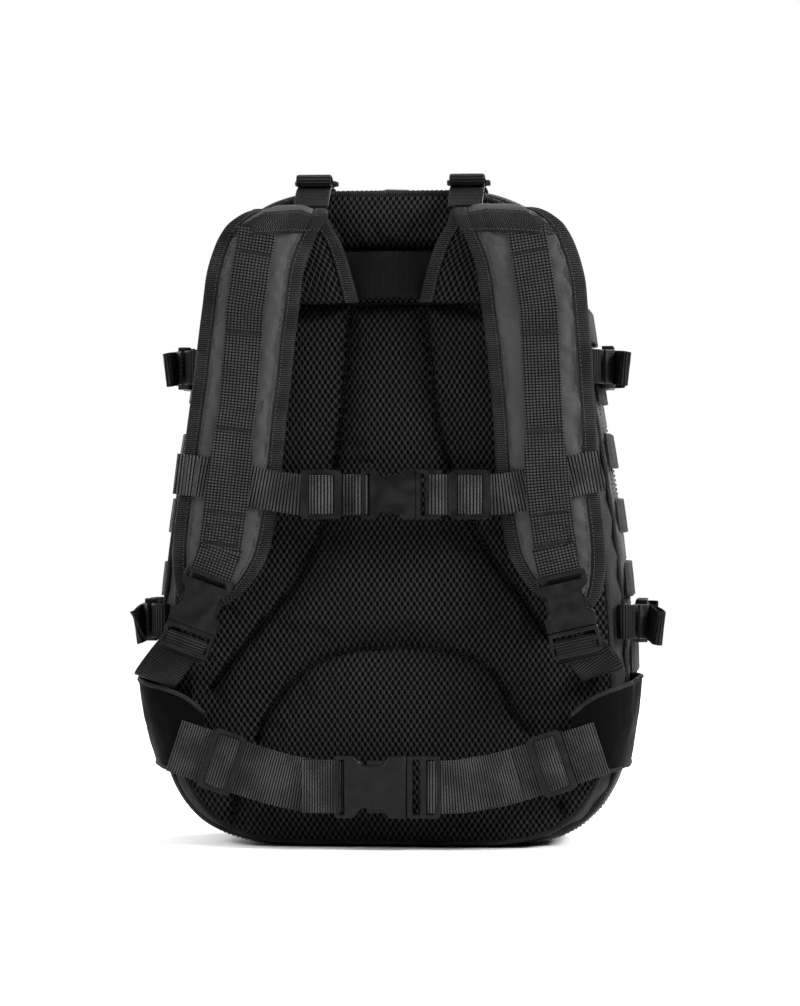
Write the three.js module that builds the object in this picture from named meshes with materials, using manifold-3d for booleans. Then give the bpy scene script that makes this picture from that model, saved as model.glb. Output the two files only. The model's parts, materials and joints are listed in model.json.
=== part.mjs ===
// Trauma backpack: a zipped three-compartment rucksack with a padded mesh back, folding shoulder
// straps, a sternum strap, a waist belt, side compression straps and webbing ladders.
// Millimetres. +Z up, the wearer's side faces -Y, +X is to the right when looking at that side.

import * as THREE from "three";
import { mergeVertices } from "three/addons/utils/BufferGeometryUtils.js";
import Module from "manifold-3d";

const wasm = await Module();
wasm.setup();

// ---------------------------------------------------------------- driving dimensions
const GAP = 0.4; // running gap between neighbouring pieces
const WEB = 1.6; // webbing thickness
const WAIST_WEB = 38; // webbing widths
const SHOULDER_WEB = 30;
const STERNUM_WEB = 29;
const SIDE_WEB = 25;

const PACK = { low: 0, high: 472, halfLow: 170, halfHigh: 135 }; // outline of the main bag
const MAIN_DEPTH = 120;
const SHELL_WALL = 3;
const PANEL_THICK = 14; // foam back panel
const FRONT = { low: 30, high: 462, halfLow: 160, halfHigh: 126 }; // second compartment, rear edge
const FRONT_FACE = { low: 64, high: 450, halfLow: 150, halfHigh: 116 }; // and its front edge
const FRONT_DEPTH = 45;
const LOWER_POUCH = { low: 100, high: 255, half: 118, depth: 27, corner: 26 };
const UPPER_POUCH = { low: 275, high: 400, half: 88, depth: 22, corner: 22 };
const LID = 3;
const PAD = 12; // shoulder strap foam
const STRAP_FACE = -34; // front surface of the shoulder straps where the sternum strap crosses
const BELT_Y = -40; // mid-plane of the hanging waist belt
const UPPER_STRAP_Z = 345; // compression straps
const LOWER_STRAP_Z = 162;

const COLOURS = {
  nylon: 0x3a3a3c,
  mesh: 0x161817,
  webbing: 0x2a2a2c,
  plastic: 0x1c1c1d,
  metal: 0x2c2c2e,
};
const ROUGHNESS = { nylon: 0.85, mesh: 0.95, webbing: 0.8, plastic: 0.45, metal: 0.4 };

const pack = new THREE.Group();

// ---------------------------------------------------------------- solid helpers
function solid(geometry) {
  const bare = new THREE.BufferGeometry().setAttribute(
    "position",
    geometry.index ? geometry.toNonIndexed().getAttribute("position") : geometry.getAttribute("position"),
  );
  const merged = mergeVertices(bare, 1e-3);
  const mesh = new wasm.Mesh({
    numProp: 3,
    vertProperties: merged.attributes.position.array,
    triVerts: new Uint32Array(merged.index.array),
  });
  return new wasm.Manifold(mesh);
}

function geometryOf(manifold) {
  const mesh = manifold.getMesh();
  const geometry = new THREE.BufferGeometry();
  geometry.setAttribute("position", new THREE.BufferAttribute(new Float32Array(mesh.vertProperties), 3));
  geometry.setIndex(new THREE.BufferAttribute(mesh.triVerts, 1));
  return geometry;
}

function cut(body, ...tools) {
  return geometryOf(tools.reduce((left, tool) => left.subtract(solid(tool)), solid(body)));
}

function join(...bodies) {
  const [first, ...rest] = bodies.map(solid);
  return geometryOf(rest.reduce((sum, next) => sum.add(next), first));
}

function add(name, geometry, look) {
  geometry.computeVertexNormals();
  const material = new THREE.MeshStandardMaterial({
    color: COLOURS[look],
    roughness: ROUGHNESS[look],
    metalness: look === "metal" ? 0.8 : 0,
  });
  const mesh = new THREE.Mesh(geometry, material);
  mesh.name = name;
  pack.add(mesh);
  return mesh;
}

// A closed skin over rings of the same number of points, with flat fans over the two ends.
function loft(rings) {
  const count = rings[0].length;
  const positions = [];
  const index = [];
  rings.forEach((ring) => ring.forEach((p) => positions.push(p.x, p.y, p.z)));
  for (let r = 0; r + 1 < rings.length; r++) {
    for (let i = 0; i < count; i++) {
      const a = r * count + i;
      const b = r * count + ((i + 1) % count);
      index.push(a, b, a + count, b, b + count, a + count);
    }
  }
  [0, rings.length - 1].forEach((r) => {
    const hub = positions.length / 3;
    const centre = rings[r].reduce((sum, p) => sum.add(p), new THREE.Vector3()).divideScalar(count);
    positions.push(centre.x, centre.y, centre.z);
    for (let i = 0; i < count; i++) {
      const a = r * count + i;
      const b = r * count + ((i + 1) % count);
      index.push(...(r === 0 ? [hub, b, a] : [hub, a, b]));
    }
  });
  const geometry = new THREE.BufferGeometry();
  geometry.setAttribute("position", new THREE.Float32BufferAttribute(positions, 3));
  geometry.setIndex(index);
  return solid(geometry).volume() < 0 ? turnedOut(geometry) : geometry;
}

function turnedOut(geometry) {
  const index = geometry.index.array;
  for (let i = 0; i < index.length; i += 3) [index[i + 1], index[i + 2]] = [index[i + 2], index[i + 1]];
  return geometry;
}

// A polygon with each corner rounded; corners are [x, y, radius].
function roundedShape(corners, ShapeClass = THREE.Shape) {
  const shape = new ShapeClass();
  corners.forEach(([x, y, radius = 0], i) => {
    const corner = new THREE.Vector2(x, y);
    const before = new THREE.Vector2(...corners.at(i - 1).slice(0, 2));
    before.sub(corner).setLength(radius).add(corner);
    const after = new THREE.Vector2(...corners[(i + 1) % corners.length].slice(0, 2));
    after.sub(corner).setLength(radius).add(corner);
    if (i === 0) shape.moveTo(before.x, before.y);
    else shape.lineTo(before.x, before.y);
    if (radius > 0) shape.quadraticCurveTo(x, y, after.x, after.y);
  });
  shape.closePath();
  return shape;
}

const rectangle = (x0, y0, x1, y1, r) => [[x0, y0, r], [x1, y0, r], [x1, y1, r], [x0, y1, r]];

function extruded(shape, depth, curveSegments = 3) {
  return new THREE.ExtrudeGeometry(shape, { depth, bevelEnabled: false, curveSegments, steps: 1 });
}

// Stands a shape drawn in X and Z on its edge, from y0 to y1.
function upright(shape, y0, y1, curveSegments = 3) {
  return extruded(shape, y1 - y0, curveSegments).rotateX(Math.PI / 2).translate(0, y1, 0);
}

function block(x0, y0, z0, x1, y1, z1) {
  const box = new THREE.BoxGeometry(Math.abs(x1 - x0), Math.abs(y1 - y0), Math.abs(z1 - z0));
  return box.translate((x0 + x1) / 2, (y0 + y1) / 2, (z0 + z1) / 2);
}

// ---------------------------------------------------------------- bag outlines
// Half of the bag's outline: flat base, large lower corners, sides that lean in, rounded shoulders.
function bagCurve({ low, high, halfLow, halfHigh }) {
  const at = (x, share) => new THREE.Vector2(x, low + share * (high - low));
  const path = new THREE.Path();
  path.moveTo(halfLow * 0.4, low);
  path.bezierCurveTo(...at(halfLow * 0.82, 0), ...at(halfLow, 0.06), ...at(halfLow, 0.24));
  path.bezierCurveTo(...at(halfLow, 0.45), ...at(halfHigh * 1.07, 0.68), ...at(halfHigh, 0.83));
  const crown = [...at(halfHigh * 0.93, 0.95), ...at(halfHigh * 0.7, 1), ...at(halfHigh * 0.26, 1)];
  path.bezierCurveTo(...crown);
  return path;
}

function bagRing(spec, y, divisions = 5) {
  const right = bagCurve(spec).getPoints(divisions);
  const left = right.map((p) => new THREE.Vector2(-p.x, p.y)).reverse();
  return [...right, ...left].map((p) => new THREE.Vector3(p.x, y, p.y));
}

const inset = (spec, by) => ({
  low: spec.low + by,
  high: spec.high - by,
  halfLow: spec.halfLow - by,
  halfHigh: spec.halfHigh - by,
});

// Half width of the main bag at a height, for what lies along its sides.
const sideCurve = bagCurve(PACK).getPoints(40);
function halfWidthAt(z) {
  const i = sideCurve.findIndex((p) => p.y >= z);
  const [a, b] = [sideCurve[i - 1], sideCurve[i]];
  return a.x + ((b.x - a.x) * (z - a.y)) / (b.y - a.y);
}

// ---------------------------------------------------------------- ribbons
// Flat webbing along stations {at: [x, y, z], across: [x, y, z], width, thick, face: [x, y, z]}.
function ribbon(stations) {
  return loft(
    stations.map(({ at, across, face, width, thick = WEB }) => {
      const centre = new THREE.Vector3(...at);
      const side = new THREE.Vector3(...across).setLength(width / 2);
      const out = new THREE.Vector3(...face).setLength(thick / 2);
      return [[1, 1], [-1, 1], [-1, -1], [1, -1]].map(([s, o]) =>
        centre.clone().addScaledVector(side, s).addScaledVector(out, o),
      );
    }),
  );
}

// Webbing that lies in a plane of constant y and runs through [x, z] points.
function flatRibbon(points, y, width, thick = WEB) {
  const path = points.map(([x, z]) => new THREE.Vector2(x, z));
  return ribbon(
    path.map((p, i) => {
      const next = path[Math.min(i + 1, path.length - 1)].clone();
      const along = next.sub(path[Math.max(i - 1, 0)]).normalize();
      return { at: [p.x, y, p.y], across: [-along.y, 0, along.x], face: [0, 1, 0], width, thick };
    }),
  );
}

// ---------------------------------------------------------------- buckles
// Local frame: +X from the socket's closed end to the plug, +Y across the webbing, +Z through the
// thickness, origin in the middle of the socket's mouth.
function buckleSizes(web) {
  return { width: web + 6, length: 1.32 * web, thick: 0.29 * web + 1, base: 0.64 * web, wall: 2 };
}

function buckleSocket(web) {
  const { width, length, thick, wall } = buckleSizes(web);
  const half = width / 2;
  const notch = 0.16 * width;
  const edge = (sign) => [
    [0, sign * half, 0.8],
    [-0.24 * length, sign * half, 1.5],
    [-0.33 * length, sign * (half - notch), 1.5],
    [-0.64 * length, sign * (half - notch), 1.5],
    [-0.74 * length, sign * half, 1.5],
    [-length, sign * half, 1.5],
  ];
  const outline = roundedShape([...edge(-1).reverse(), ...edge(1)]);
  const body = extruded(outline, thick, 2).translate(0, 0, -thick / 2);
  const room = thick / 2 - wall;
  const cavity = block(-0.7 * length, wall + 0.6 - half, -room, 5, half - wall - 0.6, room);
  const slot = block(-length + 2.5, -web / 2 - 0.5, -thick, -length + 6.5, web / 2 + 0.5, thick);
  return cut(body, cavity, slot);
}

function bucklePlug(web) {
  const { width, length, thick, base, wall } = buckleSizes(web);
  const half = width / 2;
  const bar = 0.13 * base + 1;
  const slot = (from, to) => block(from, -web / 2 - 0.5, -thick, to, web / 2 + 0.5, thick);
  const frame = extruded(roundedShape(rectangle(GAP, -half, base, half, 2)), 0.8 * thick, 2);
  const ladder = cut(
    frame.translate(0, 0, -0.4 * thick),
    slot(GAP + bar, base / 2 - bar / 2),
    slot(base / 2 + bar / 2, base - bar),
  );
  const blade = thick / 2 - wall - 0.5;
  const reach = -0.56 * length;
  const outer = half - wall - 1.2;
  const prong = (sign) => {
    const outline = roundedShape([
      [1.5, sign * (outer - 4), 0],
      [1.5, sign * outer, 0],
      [reach * 0.45, sign * (outer - 0.8), 2],
      [reach, sign * outer, 2],
      [reach, sign * (outer - 5.5), 2],
      [reach * 0.5, sign * (outer - 4), 2],
    ]);
    return extruded(outline, 2 * blade, 2).translate(0, 0, -blade);
  };
  const guide = block(reach * 0.85, -1.8, -blade, 1.5, 1.8, blade);
  return join(ladder, prong(1), prong(-1), guide);
}

// A three-bar slide that lies against the front of its webbing, its back at local z = 0.
function triglide(web, length, thick = 3.4) {
  const half = web / 2 + 3;
  const frame = extruded(roundedShape(rectangle(-length / 2, -half, length / 2, half, 4.5)), thick, 3);
  const slot = (side) => {
    const outline = roundedShape(
      rectangle(side - 0.13 * length, -web / 2, side + 0.13 * length, web / 2, 1.5),
    );
    return extruded(outline, 3 * thick, 2).translate(0, 0, -thick);
  };
  return cut(frame, slot(-0.2 * length), slot(0.2 * length));
}

// Places local +X along `along` and local +Z along `face`, at `at`.
function place(mesh, at, along, face) {
  const x = new THREE.Vector3(...along).normalize();
  const z = new THREE.Vector3(...face).normalize();
  const y = z.clone().cross(x);
  mesh.quaternion.setFromRotationMatrix(new THREE.Matrix4().makeBasis(x, y, z));
  mesh.position.set(...at);
}

// A socket and its plug clicked together; `at` is the middle of the socket's mouth.
function addBuckle(socket, plug, web, at, along, face) {
  place(add(socket, buckleSocket(web), "plastic"), at, along, face);
  place(add(plug, bucklePlug(web), "plastic"), at, along, face);
}

// ---------------------------------------------------------------- ribbons through space
// Webbing through [x, y, z] points; `across` is the direction its width runs in.
function webbing(points, width, across, thick = WEB) {
  const path = points.map((p) => new THREE.Vector3(...p));
  return ribbon(
    path.map((at, i) => {
      const next = path[Math.min(i + 1, path.length - 1)].clone();
      const along = next.sub(path[Math.max(i - 1, 0)]).normalize();
      const side = new THREE.Vector3(...across);
      side.addScaledVector(along, -along.dot(side));
      const face = along.clone().cross(side);
      return { at: at.toArray(), across: side.toArray(), face: face.toArray(), width, thick };
    }),
  );
}

// ---------------------------------------------------------------- back and main bag
const BACK = { low: 5, high: 468, halfLow: 157, halfHigh: 123 };

function buildBack() {
  const rings = [bagRing(inset(BACK, 6), -PANEL_THICK), bagRing(BACK, -PANEL_THICK + 5), bagRing(BACK, 0)];
  add("back_panel", loft(rings), "mesh");
}

function buildMainShell() {
  const outer = loft([
    bagRing(inset(PACK, 10), GAP),
    bagRing(inset(PACK, 3), 7),
    bagRing(PACK, 18),
    bagRing(PACK, MAIN_DEPTH),
  ]);
  const inner = loft([
    bagRing(inset(PACK, 10 + SHELL_WALL), GAP + SHELL_WALL),
    bagRing(inset(PACK, SHELL_WALL), 18),
    bagRing(inset(PACK, SHELL_WALL), MAIN_DEPTH + 5),
  ]);
  add("main_shell", cut(outer, inner), "nylon");
}

// ---------------------------------------------------------------- front compartments
const FRONT_REAR_Y = MAIN_DEPTH + GAP;
const FRONT_MOUTH_Y = FRONT_REAR_Y + FRONT_DEPTH;
const PANEL_Y = FRONT_MOUTH_Y + GAP;
const POUCH_Y = PANEL_Y + LID + GAP;

function buildFrontSection() {
  const outer = loft([bagRing(FRONT, FRONT_REAR_Y), bagRing(FRONT_FACE, FRONT_MOUTH_Y)]);
  const inner = loft([
    bagRing(inset(FRONT, SHELL_WALL + 1), FRONT_REAR_Y + SHELL_WALL),
    bagRing(inset(FRONT_FACE, SHELL_WALL), FRONT_MOUTH_Y + 4),
  ]);
  add("front_section_shell", cut(outer, inner), "nylon");
  add("front_panel", loft([bagRing(FRONT_FACE, PANEL_Y), bagRing(FRONT_FACE, PANEL_Y + LID)]), "nylon");
}

function pouchOutline({ low, high, half, corner }, by = 0) {
  return roundedShape(rectangle(by - half, low + by, half - by, high - by, corner - by));
}

function buildPouch(name, spec) {
  const mouth = POUCH_Y + spec.depth;
  const box = upright(pouchOutline(spec), POUCH_Y, mouth, 5);
  const room = upright(pouchOutline(spec, 2.5), POUCH_Y + 2.5, mouth + 4, 5);
  add(`${name}_shell`, cut(box, room), "nylon");
  add(`${name}_lid`, upright(pouchOutline(spec), mouth + GAP, mouth + GAP + LID, 5), "nylon");
}

// ---------------------------------------------------------------- webbing ladders on the sides
const LADDER_ROWS = [137, 192, 238, 285, 332, 375]; // heights of the row centres, low to high
const LADDER_GAP = GAP + 0.3;
const LADDER_BASE = 1.6;
const LADDER_ROW = 3.4;

function buildSideLadder(name, side) {
  const inner = [];
  const outer = [];
  const step = (z, thick) => {
    const skin = halfWidthAt(z) + LADDER_GAP;
    inner.push([skin, z]);
    outer.push([skin + thick, z]);
  };
  LADDER_ROWS.forEach((z) => {
    const half = SIDE_WEB / 2;
    step(z - half - 2, LADDER_BASE);
    step(z - half, LADDER_ROW);
    step(z + half, LADDER_ROW);
    step(z + half + 2, LADDER_BASE);
  });
  const outline = [...inner, ...outer.reverse()].map(([x, z]) => new THREE.Vector2(side * x, z));
  const shape = new THREE.Shape(outline);
  add(name, upright(shape, 22, MAIN_DEPTH - 4), "webbing");
}

// ---------------------------------------------------------------- grab handle and load lifters
const HANDLE = { z: 410, width: 33 };

function buildHandle() {
  const bow = [[48, -15.4], [38, -15.6], [25, -16.8], [12, -22.2], [0, -23.8]];
  const right = bow.map(([x, y]) => [x, y, HANDLE.z]);
  const left = right.slice(0, -1).map(([x, y, z]) => [-x, y, z]);
  add("grab_handle", webbing([...left, ...right.reverse()], HANDLE.width, [0, 0, 1]), "webbing");
}

const LIFTER_X = 55;

function buildLoadLifter(name, side) {
  const path = [[30, 473.4], [6, 474.4], [-6, 473.8], [-15, 470], [-23, 464.5], [-30, 460.5]];
  const points = path.map(([y, z]) => [side * LIFTER_X, y, z]);
  add(`load_lifter_webbing_${name}`, webbing(points, SIDE_WEB, [1, 0, 0]), "webbing");
  const lock = add(`load_lifter_lock_${name}`, triglide(SIDE_WEB, 18, 3), "plastic");
  place(lock, [side * LIFTER_X, 7, 475.8], [0, -1, 0], [0, 0, 1]);
}

// ---------------------------------------------------------------- shoulder straps
// Stations of the right strap's middle: [x, y, z, width]. The wing runs from its sewn seam up to
// the fold, and the pad from the fold down the wearer's chest.
const WING_PAD = [
  [57, -20.5, 383, 66],
  [57.5, -24, 392, 66],
  [62, -24, 410, 66],
  [70, -24.5, 430, 68],
  [79, -27.2, 445, 70],
  [81.4, -29.4, 450, 70],
  [84.2, -33.4, 450, 70],
];
const STRAP = [
  [84.6, -34.2, 450, 70],
  [87, -38, 450, 70],
  [89, -41, 448.6, 69],
  [91, -44, 445, 68],
  [94, -47, 434, 67],
  [97, -47, 420, 67],
  [102, -42, 390, 68],
  [106, -34.5, 358, 67],
  [109, -30, 335, 66],
  [111, -28, 312, 66],
  [114, -28, 265, 66],
  [118, -28, 235, 63],
  [122, -28, 212, 57],
  [127, -28, 192, 46],
  [130.5, -28, 180, 32],
  [132, -28, 174, 16],
];
const WEB_FROM = 4; // the first pad station that the strap webbing lies on
const WEB_UNTIL = 4; // and how many it leaves free at the end
const WEB_LIFT = 3.2; // middle of the strap webbing above the pad, leaving a tunnel under it

// Each station's middle and the direction its outer face looks in.
function padFrames(stations) {
  const last = stations.length - 1;
  const at = (k) => new THREE.Vector3(...stations[Math.max(0, Math.min(last, k))].slice(0, 3));
  return stations.map((_, i) => {
    const along = at(i + 1).sub(at(i - 1));
    return { centre: at(i), face: along.cross(new THREE.Vector3(1, 0, 0)).normalize() };
  });
}

function padding(stations, side, thick) {
  const quarter = [[1, 0.35], [0.9, 1]];
  const upper = [...quarter, ...quarter.map(([u, v]) => [-u, v]).reverse()];
  const corners = [...upper, ...upper.map(([u, v]) => [-u, -v])];
  const frames = padFrames(stations);
  const rings = stations.map(([, , , width], i) =>
    corners.map(([u, v]) => {
      const p = frames[i].centre.clone().addScaledVector(frames[i].face, (v * thick) / 2);
      return new THREE.Vector3(side * (p.x + (u * width) / 2), p.y, p.z);
    }),
  );
  return loft(rings);
}

// Side-release buckle at each strap's lower end: middle of the socket's mouth, and the tilt.
const SHOULDER_BUCKLE = {
  left: { side: -1, mouth: [-139, 159], tilt: 20, drop: [-157, 126] },
  right: { side: 1, mouth: [131.5, 158.5], tilt: 13, drop: [141, 121] },
};
const SHOULDER_BUCKLE_Y = -39.6;

function downAxis({ side, tilt }) {
  const angle = THREE.MathUtils.degToRad(tilt);
  return [side * Math.sin(angle), 0, -Math.cos(angle)];
}

function buildShoulderStrap(name) {
  const buckle = SHOULDER_BUCKLE[name];
  const { side, mouth } = buckle;
  add(`strap_wing_${name}`, padding(WING_PAD, side, PAD - 2), "mesh");
  add(`shoulder_strap_${name}`, padding(STRAP, side, PAD), "nylon");

  const down = downAxis(buckle);
  const { length } = buckleSizes(SHOULDER_WEB);
  const end = [mouth[0] - down[0] * (length + 0.6), mouth[1] - down[2] * (length + 0.6)];
  const onPad = padFrames(STRAP)
    .slice(WEB_FROM, -WEB_UNTIL)
    .map(({ centre, face }) => centre.addScaledVector(face, PAD / 2 + WEB_LIFT))
    .map(({ x, y, z }) => [side * x, y, z]);
  const points = [...onPad, [end[0] - down[0] * 10, SHOULDER_BUCKLE_Y + 0.8, end[1] - down[2] * 10]];
  points.push([end[0], SHOULDER_BUCKLE_Y, end[1]]);
  add(`shoulder_webbing_${name}`, webbing(points, SHOULDER_WEB, [1, 0, 0]), "webbing");

  const centre = [mouth[0], SHOULDER_BUCKLE_Y, mouth[1]];
  addBuckle(
    `shoulder_buckle_socket_${name}`,
    `shoulder_buckle_plug_${name}`,
    SHOULDER_WEB,
    centre,
    down,
    [0, -1, 0],
  );

  const lowerY = SHOULDER_BUCKLE_Y + 0.4 * buckleSizes(SHOULDER_WEB).thick + GAP + WEB / 2;
  const lower = [
    [mouth[0] + down[0] * 3, mouth[1] + down[2] * 3],
    [mouth[0] + down[0] * 20, mouth[1] + down[2] * 20],
    buckle.drop,
  ];
  add(`lower_webbing_${name}`, flatRibbon(lower, lowerY, SHOULDER_WEB), "webbing");
}

// ---------------------------------------------------------------- sternum strap
const STERNUM_Z = 253;
const STERNUM_Y = STRAP_FACE - GAP - WEB / 2;
const STERNUM_MOUTH_X = 20;

function buildSternumStrap() {
  const { length, base } = buckleSizes(STERNUM_WEB);
  const socketEnd = STERNUM_MOUTH_X - length - 0.6;
  const plugEnd = STERNUM_MOUTH_X + base + 0.6;
  const left = [[-152, 268], [-120, 263], [-84, 256], [-66, STERNUM_Z], [socketEnd, STERNUM_Z]];
  const right = [[plugEnd, STERNUM_Z], [80, STERNUM_Z], [100, 257], [120, 263], [152, 270]];
  add("sternum_webbing_left", flatRibbon(left, STERNUM_Y, STERNUM_WEB), "webbing");
  add("sternum_webbing_right", flatRibbon(right, STERNUM_Y, STERNUM_WEB), "webbing");
  const centre = [STERNUM_MOUTH_X, STERNUM_Y, STERNUM_Z];
  addBuckle("sternum_buckle_socket", "sternum_buckle_plug", STERNUM_WEB, centre, [1, 0, 0], [0, -1, 0]);
  const slideY = STERNUM_Y - WEB / 2 - GAP;
  [["left", -47], ["right", 59]].forEach(([name, x]) => {
    const slide = add(`sternum_slide_${name}`, triglide(STERNUM_WEB, 29), "plastic");
    place(slide, [x, slideY, STERNUM_Z], [1, 0, 0], [0, -1, 0]);
  });
}

// ---------------------------------------------------------------- waist belt
const WING_THICK = 4;
// The left hip wing from its seam on the bag's side, round the fold, to the belt webbing:
// lower edge, upper edge and the direction the cloth faces.
const WING = [
  { low: [-171, 12, 62], high: [-174.5, 12, 136], out: [-1, 0] },
  { low: [-170, 0, 60], high: [-180, -3, 134], out: [-1, -0.3] },
  { low: [-167, -14, 60], high: [-184, -15, 126], out: [-0.9, -0.45] },
  { low: [-161, -26, 58], high: [-179, -27, 115], out: [-0.6, -0.8] },
  { low: [-152, -33, 57], high: [-165, -34, 105], out: [-0.3, -0.95] },
  { low: [-143, -36.2, 56], high: [-149, -36.2, 96], out: [0, -1] },
  { low: [-131, -36.4, 56], high: [-130, -36.4, 91], out: [0, -1] },
];
const WAIST_MOUTH_X = 14;
const WAIST_Z = 46;
const WAIST_SLIDE = { x: 117, length: 25 };

function buildHipWing(name, side) {
  const rings = WING.map(({ low, high, out }) => {
    const face = new THREE.Vector3(out[0], out[1], 0).setLength(WING_THICK / 2);
    const [a, b] = [new THREE.Vector3(...low), new THREE.Vector3(...high)];
    const ring = [a.clone().add(face), b.clone().add(face), b.clone().sub(face), a.clone().sub(face)];
    return ring.map((p) => new THREE.Vector3(-side * p.x, p.y, p.z));
  });
  add(`hip_wing_${name}`, loft(rings), "nylon");
}

function buildWaistBelt() {
  buildHipWing("left", -1);
  buildHipWing("right", 1);
  const { length, base, thick } = buckleSizes(WAIST_WEB);
  const socketEnd = WAIST_MOUTH_X - length - 0.6;
  const behind = BELT_Y + 0.4 * thick + GAP + WEB / 2;
  const left = [
    [-150, BELT_Y, 74],
    [-92, BELT_Y, 55],
    [-66, BELT_Y, 48],
    [-50, BELT_Y, WAIST_Z],
    [socketEnd, BELT_Y, WAIST_Z],
  ];
  const right = [
    [WAIST_MOUTH_X + 4, behind, WAIST_Z],
    [WAIST_MOUTH_X + base + 12, behind, WAIST_Z],
    [84, BELT_Y, 52],
    [92, BELT_Y, 55],
    [150, BELT_Y, 74],
  ];
  add("waist_webbing_left", webbing(left, WAIST_WEB, [0, 0, 1]), "webbing");
  add("waist_webbing_right", webbing(right, WAIST_WEB, [0, 0, 1]), "webbing");
  const centre = [WAIST_MOUTH_X, BELT_Y, WAIST_Z];
  addBuckle("waist_buckle_socket", "waist_buckle_plug", WAIST_WEB, centre, [1, 0, 0], [0, -1, 0]);
  const rise = (74 - 55) / (150 - 92);
  [["left", -1], ["right", 1]].forEach(([name, side]) => {
    const slide = add(`waist_slide_${name}`, triglide(WAIST_WEB, WAIST_SLIDE.length), "plastic");
    const z = 55 + rise * (WAIST_SLIDE.x - 92);
    place(slide, [side * WAIST_SLIDE.x, BELT_Y - WEB / 2 - GAP, z], [1, 0, side * rise], [0, -1, 0]);
  });
}

// ---------------------------------------------------------------- compression straps
const SIDE_MOUTH_Y = 56;

function buildCompressionStrap(name, side, z) {
  const skin = halfWidthAt(z - SIDE_WEB / 2);
  const face = skin + LADDER_GAP + LADDER_ROW + GAP;
  const { thick } = buckleSizes(SIDE_WEB);
  const web = face + WEB / 2;
  const buckleX = face + WEB + GAP + 0.4 * thick;
  const run = [
    [web, SIDE_MOUTH_Y + 3],
    [web, 110],
    [web + 3.5, 115],
    [web + 9, 115],
    [web + 13.5, 109],
    [web + 14.5, 101],
  ].map(([x, y]) => [side * x, y, z]);
  add(`compression_webbing_${name}`, webbing(run, SIDE_WEB, [0, 0, 1]), "webbing");
  const at = [side * buckleX, SIDE_MOUTH_Y, z];
  addBuckle(
    `compression_socket_${name}`,
    `compression_plug_${name}`,
    SIDE_WEB,
    at,
    [0, 1, 0],
    [side, 0, 0],
  );
}

// ---------------------------------------------------------------- zip sliders
const SLIDER = { long: 13, wide: 9, thick: 4 };
const frontCurve = bagCurve(FRONT).getPoints(40);
const faceCurve = bagCurve(FRONT_FACE).getPoints(40);

function onCurve(curve, z) {
  const i = curve.findIndex((p) => p.y >= z);
  const [a, b] = [curve[i - 1], curve[i]];
  const x = a.x + ((b.x - a.x) * (z - a.y)) / (b.y - a.y);
  return { x, along: new THREE.Vector2(b.x - a.x, b.y - a.y).normalize() };
}

function sliderBody() {
  const { long, wide, thick } = SLIDER;
  const nose = wide / 2.8;
  const outline = [
    [-long / 2, -wide / 2, 2],
    [long / 2, -nose, 2],
    [long / 2, nose, 2],
    [-long / 2, wide / 2, 2],
  ];
  const plan = extruded(roundedShape(outline), 0.6 * thick, 2);
  const bridge = block(-long / 2 + 2, -1.2, 0.5 * thick, long / 2 - 4, 1.2, thick);
  return join(plan, bridge);
}

// A slider on the side of a compartment, its nose up the seam.
function sideSlider(name, side, curve, y, z, lift = 1.4) {
  const { x, along } = onCurve(curve, z);
  const slider = add(name, sliderBody(), "metal");
  place(slider, [side * (x + lift), y, z], [side * along.x, 0, along.y], [side * along.y, 0, -along.x]);
}

const MAIN_SLIDER = { y: FRONT_REAR_Y + 6.4, z: 372 };
const PULL = { long: 30, wide: 7, thick: 3, off: 3.2 }; // off is its distance from the bag's side

function buildZips() {
  [["left", -1], ["right", 1]].forEach(([name, side]) => {
    sideSlider(`main_zip_slider_${name}`, side, frontCurve, MAIN_SLIDER.y, MAIN_SLIDER.z);
    const { x } = onCurve(frontCurve, MAIN_SLIDER.z - PULL.long);
    const top = MAIN_SLIDER.z - SLIDER.long / 2 - 2;
    const middle = side * (x + PULL.off + PULL.thick / 2);
    const half = PULL.thick / 2;
    const outline = roundedShape(rectangle(middle - half, top - PULL.long, middle + half, top, 1));
    const from = MAIN_SLIDER.y - PULL.wide / 2;
    add(`main_zip_pull_${name}`, upright(outline, from, from + PULL.wide, 1), "webbing");
  });
  sideSlider("front_zip_slider", 1, faceCurve, FRONT_MOUTH_Y - 3, 350, 2.4);
  const pouchSlider = (name, spec, x) => {
    const slider = add(name, sliderBody(), "metal");
    place(slider, [x, POUCH_Y + spec.depth - 3, spec.high + GAP], [1, 0, 0], [0, 0, 1]);
  };
  pouchSlider("lower_zip_slider", LOWER_POUCH, 70);
  pouchSlider("upper_zip_slider", UPPER_POUCH, 45);
}

// ---------------------------------------------------------------- assembly
buildBack();
buildMainShell();
buildFrontSection();
buildPouch("lower_pouch", LOWER_POUCH);
buildPouch("upper_pouch", UPPER_POUCH);
buildSideLadder("side_ladder_left", -1);
buildSideLadder("side_ladder_right", 1);
buildHandle();
buildLoadLifter("left", -1);
buildLoadLifter("right", 1);
buildShoulderStrap("left");
buildShoulderStrap("right");
buildSternumStrap();
buildWaistBelt();
[["left", -1], ["right", 1]].forEach(([name, side]) => {
  buildCompressionStrap(`upper_${name}`, side, UPPER_STRAP_Z);
  buildCompressionStrap(`lower_${name}`, side, LOWER_STRAP_Z);
});
buildZips();

// The frame's origin is the middle of the base of the bounding box.
const box = new THREE.Box3().setFromObject(pack);
pack.position.y = -(box.min.y + box.max.y) / 2;

export default pack;
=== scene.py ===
"""Looks of the trauma backpack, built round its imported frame. Drawing units are millimetres."""
import json
import math

import bmesh
import bpy
import numpy as np
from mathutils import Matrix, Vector, noise


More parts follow.
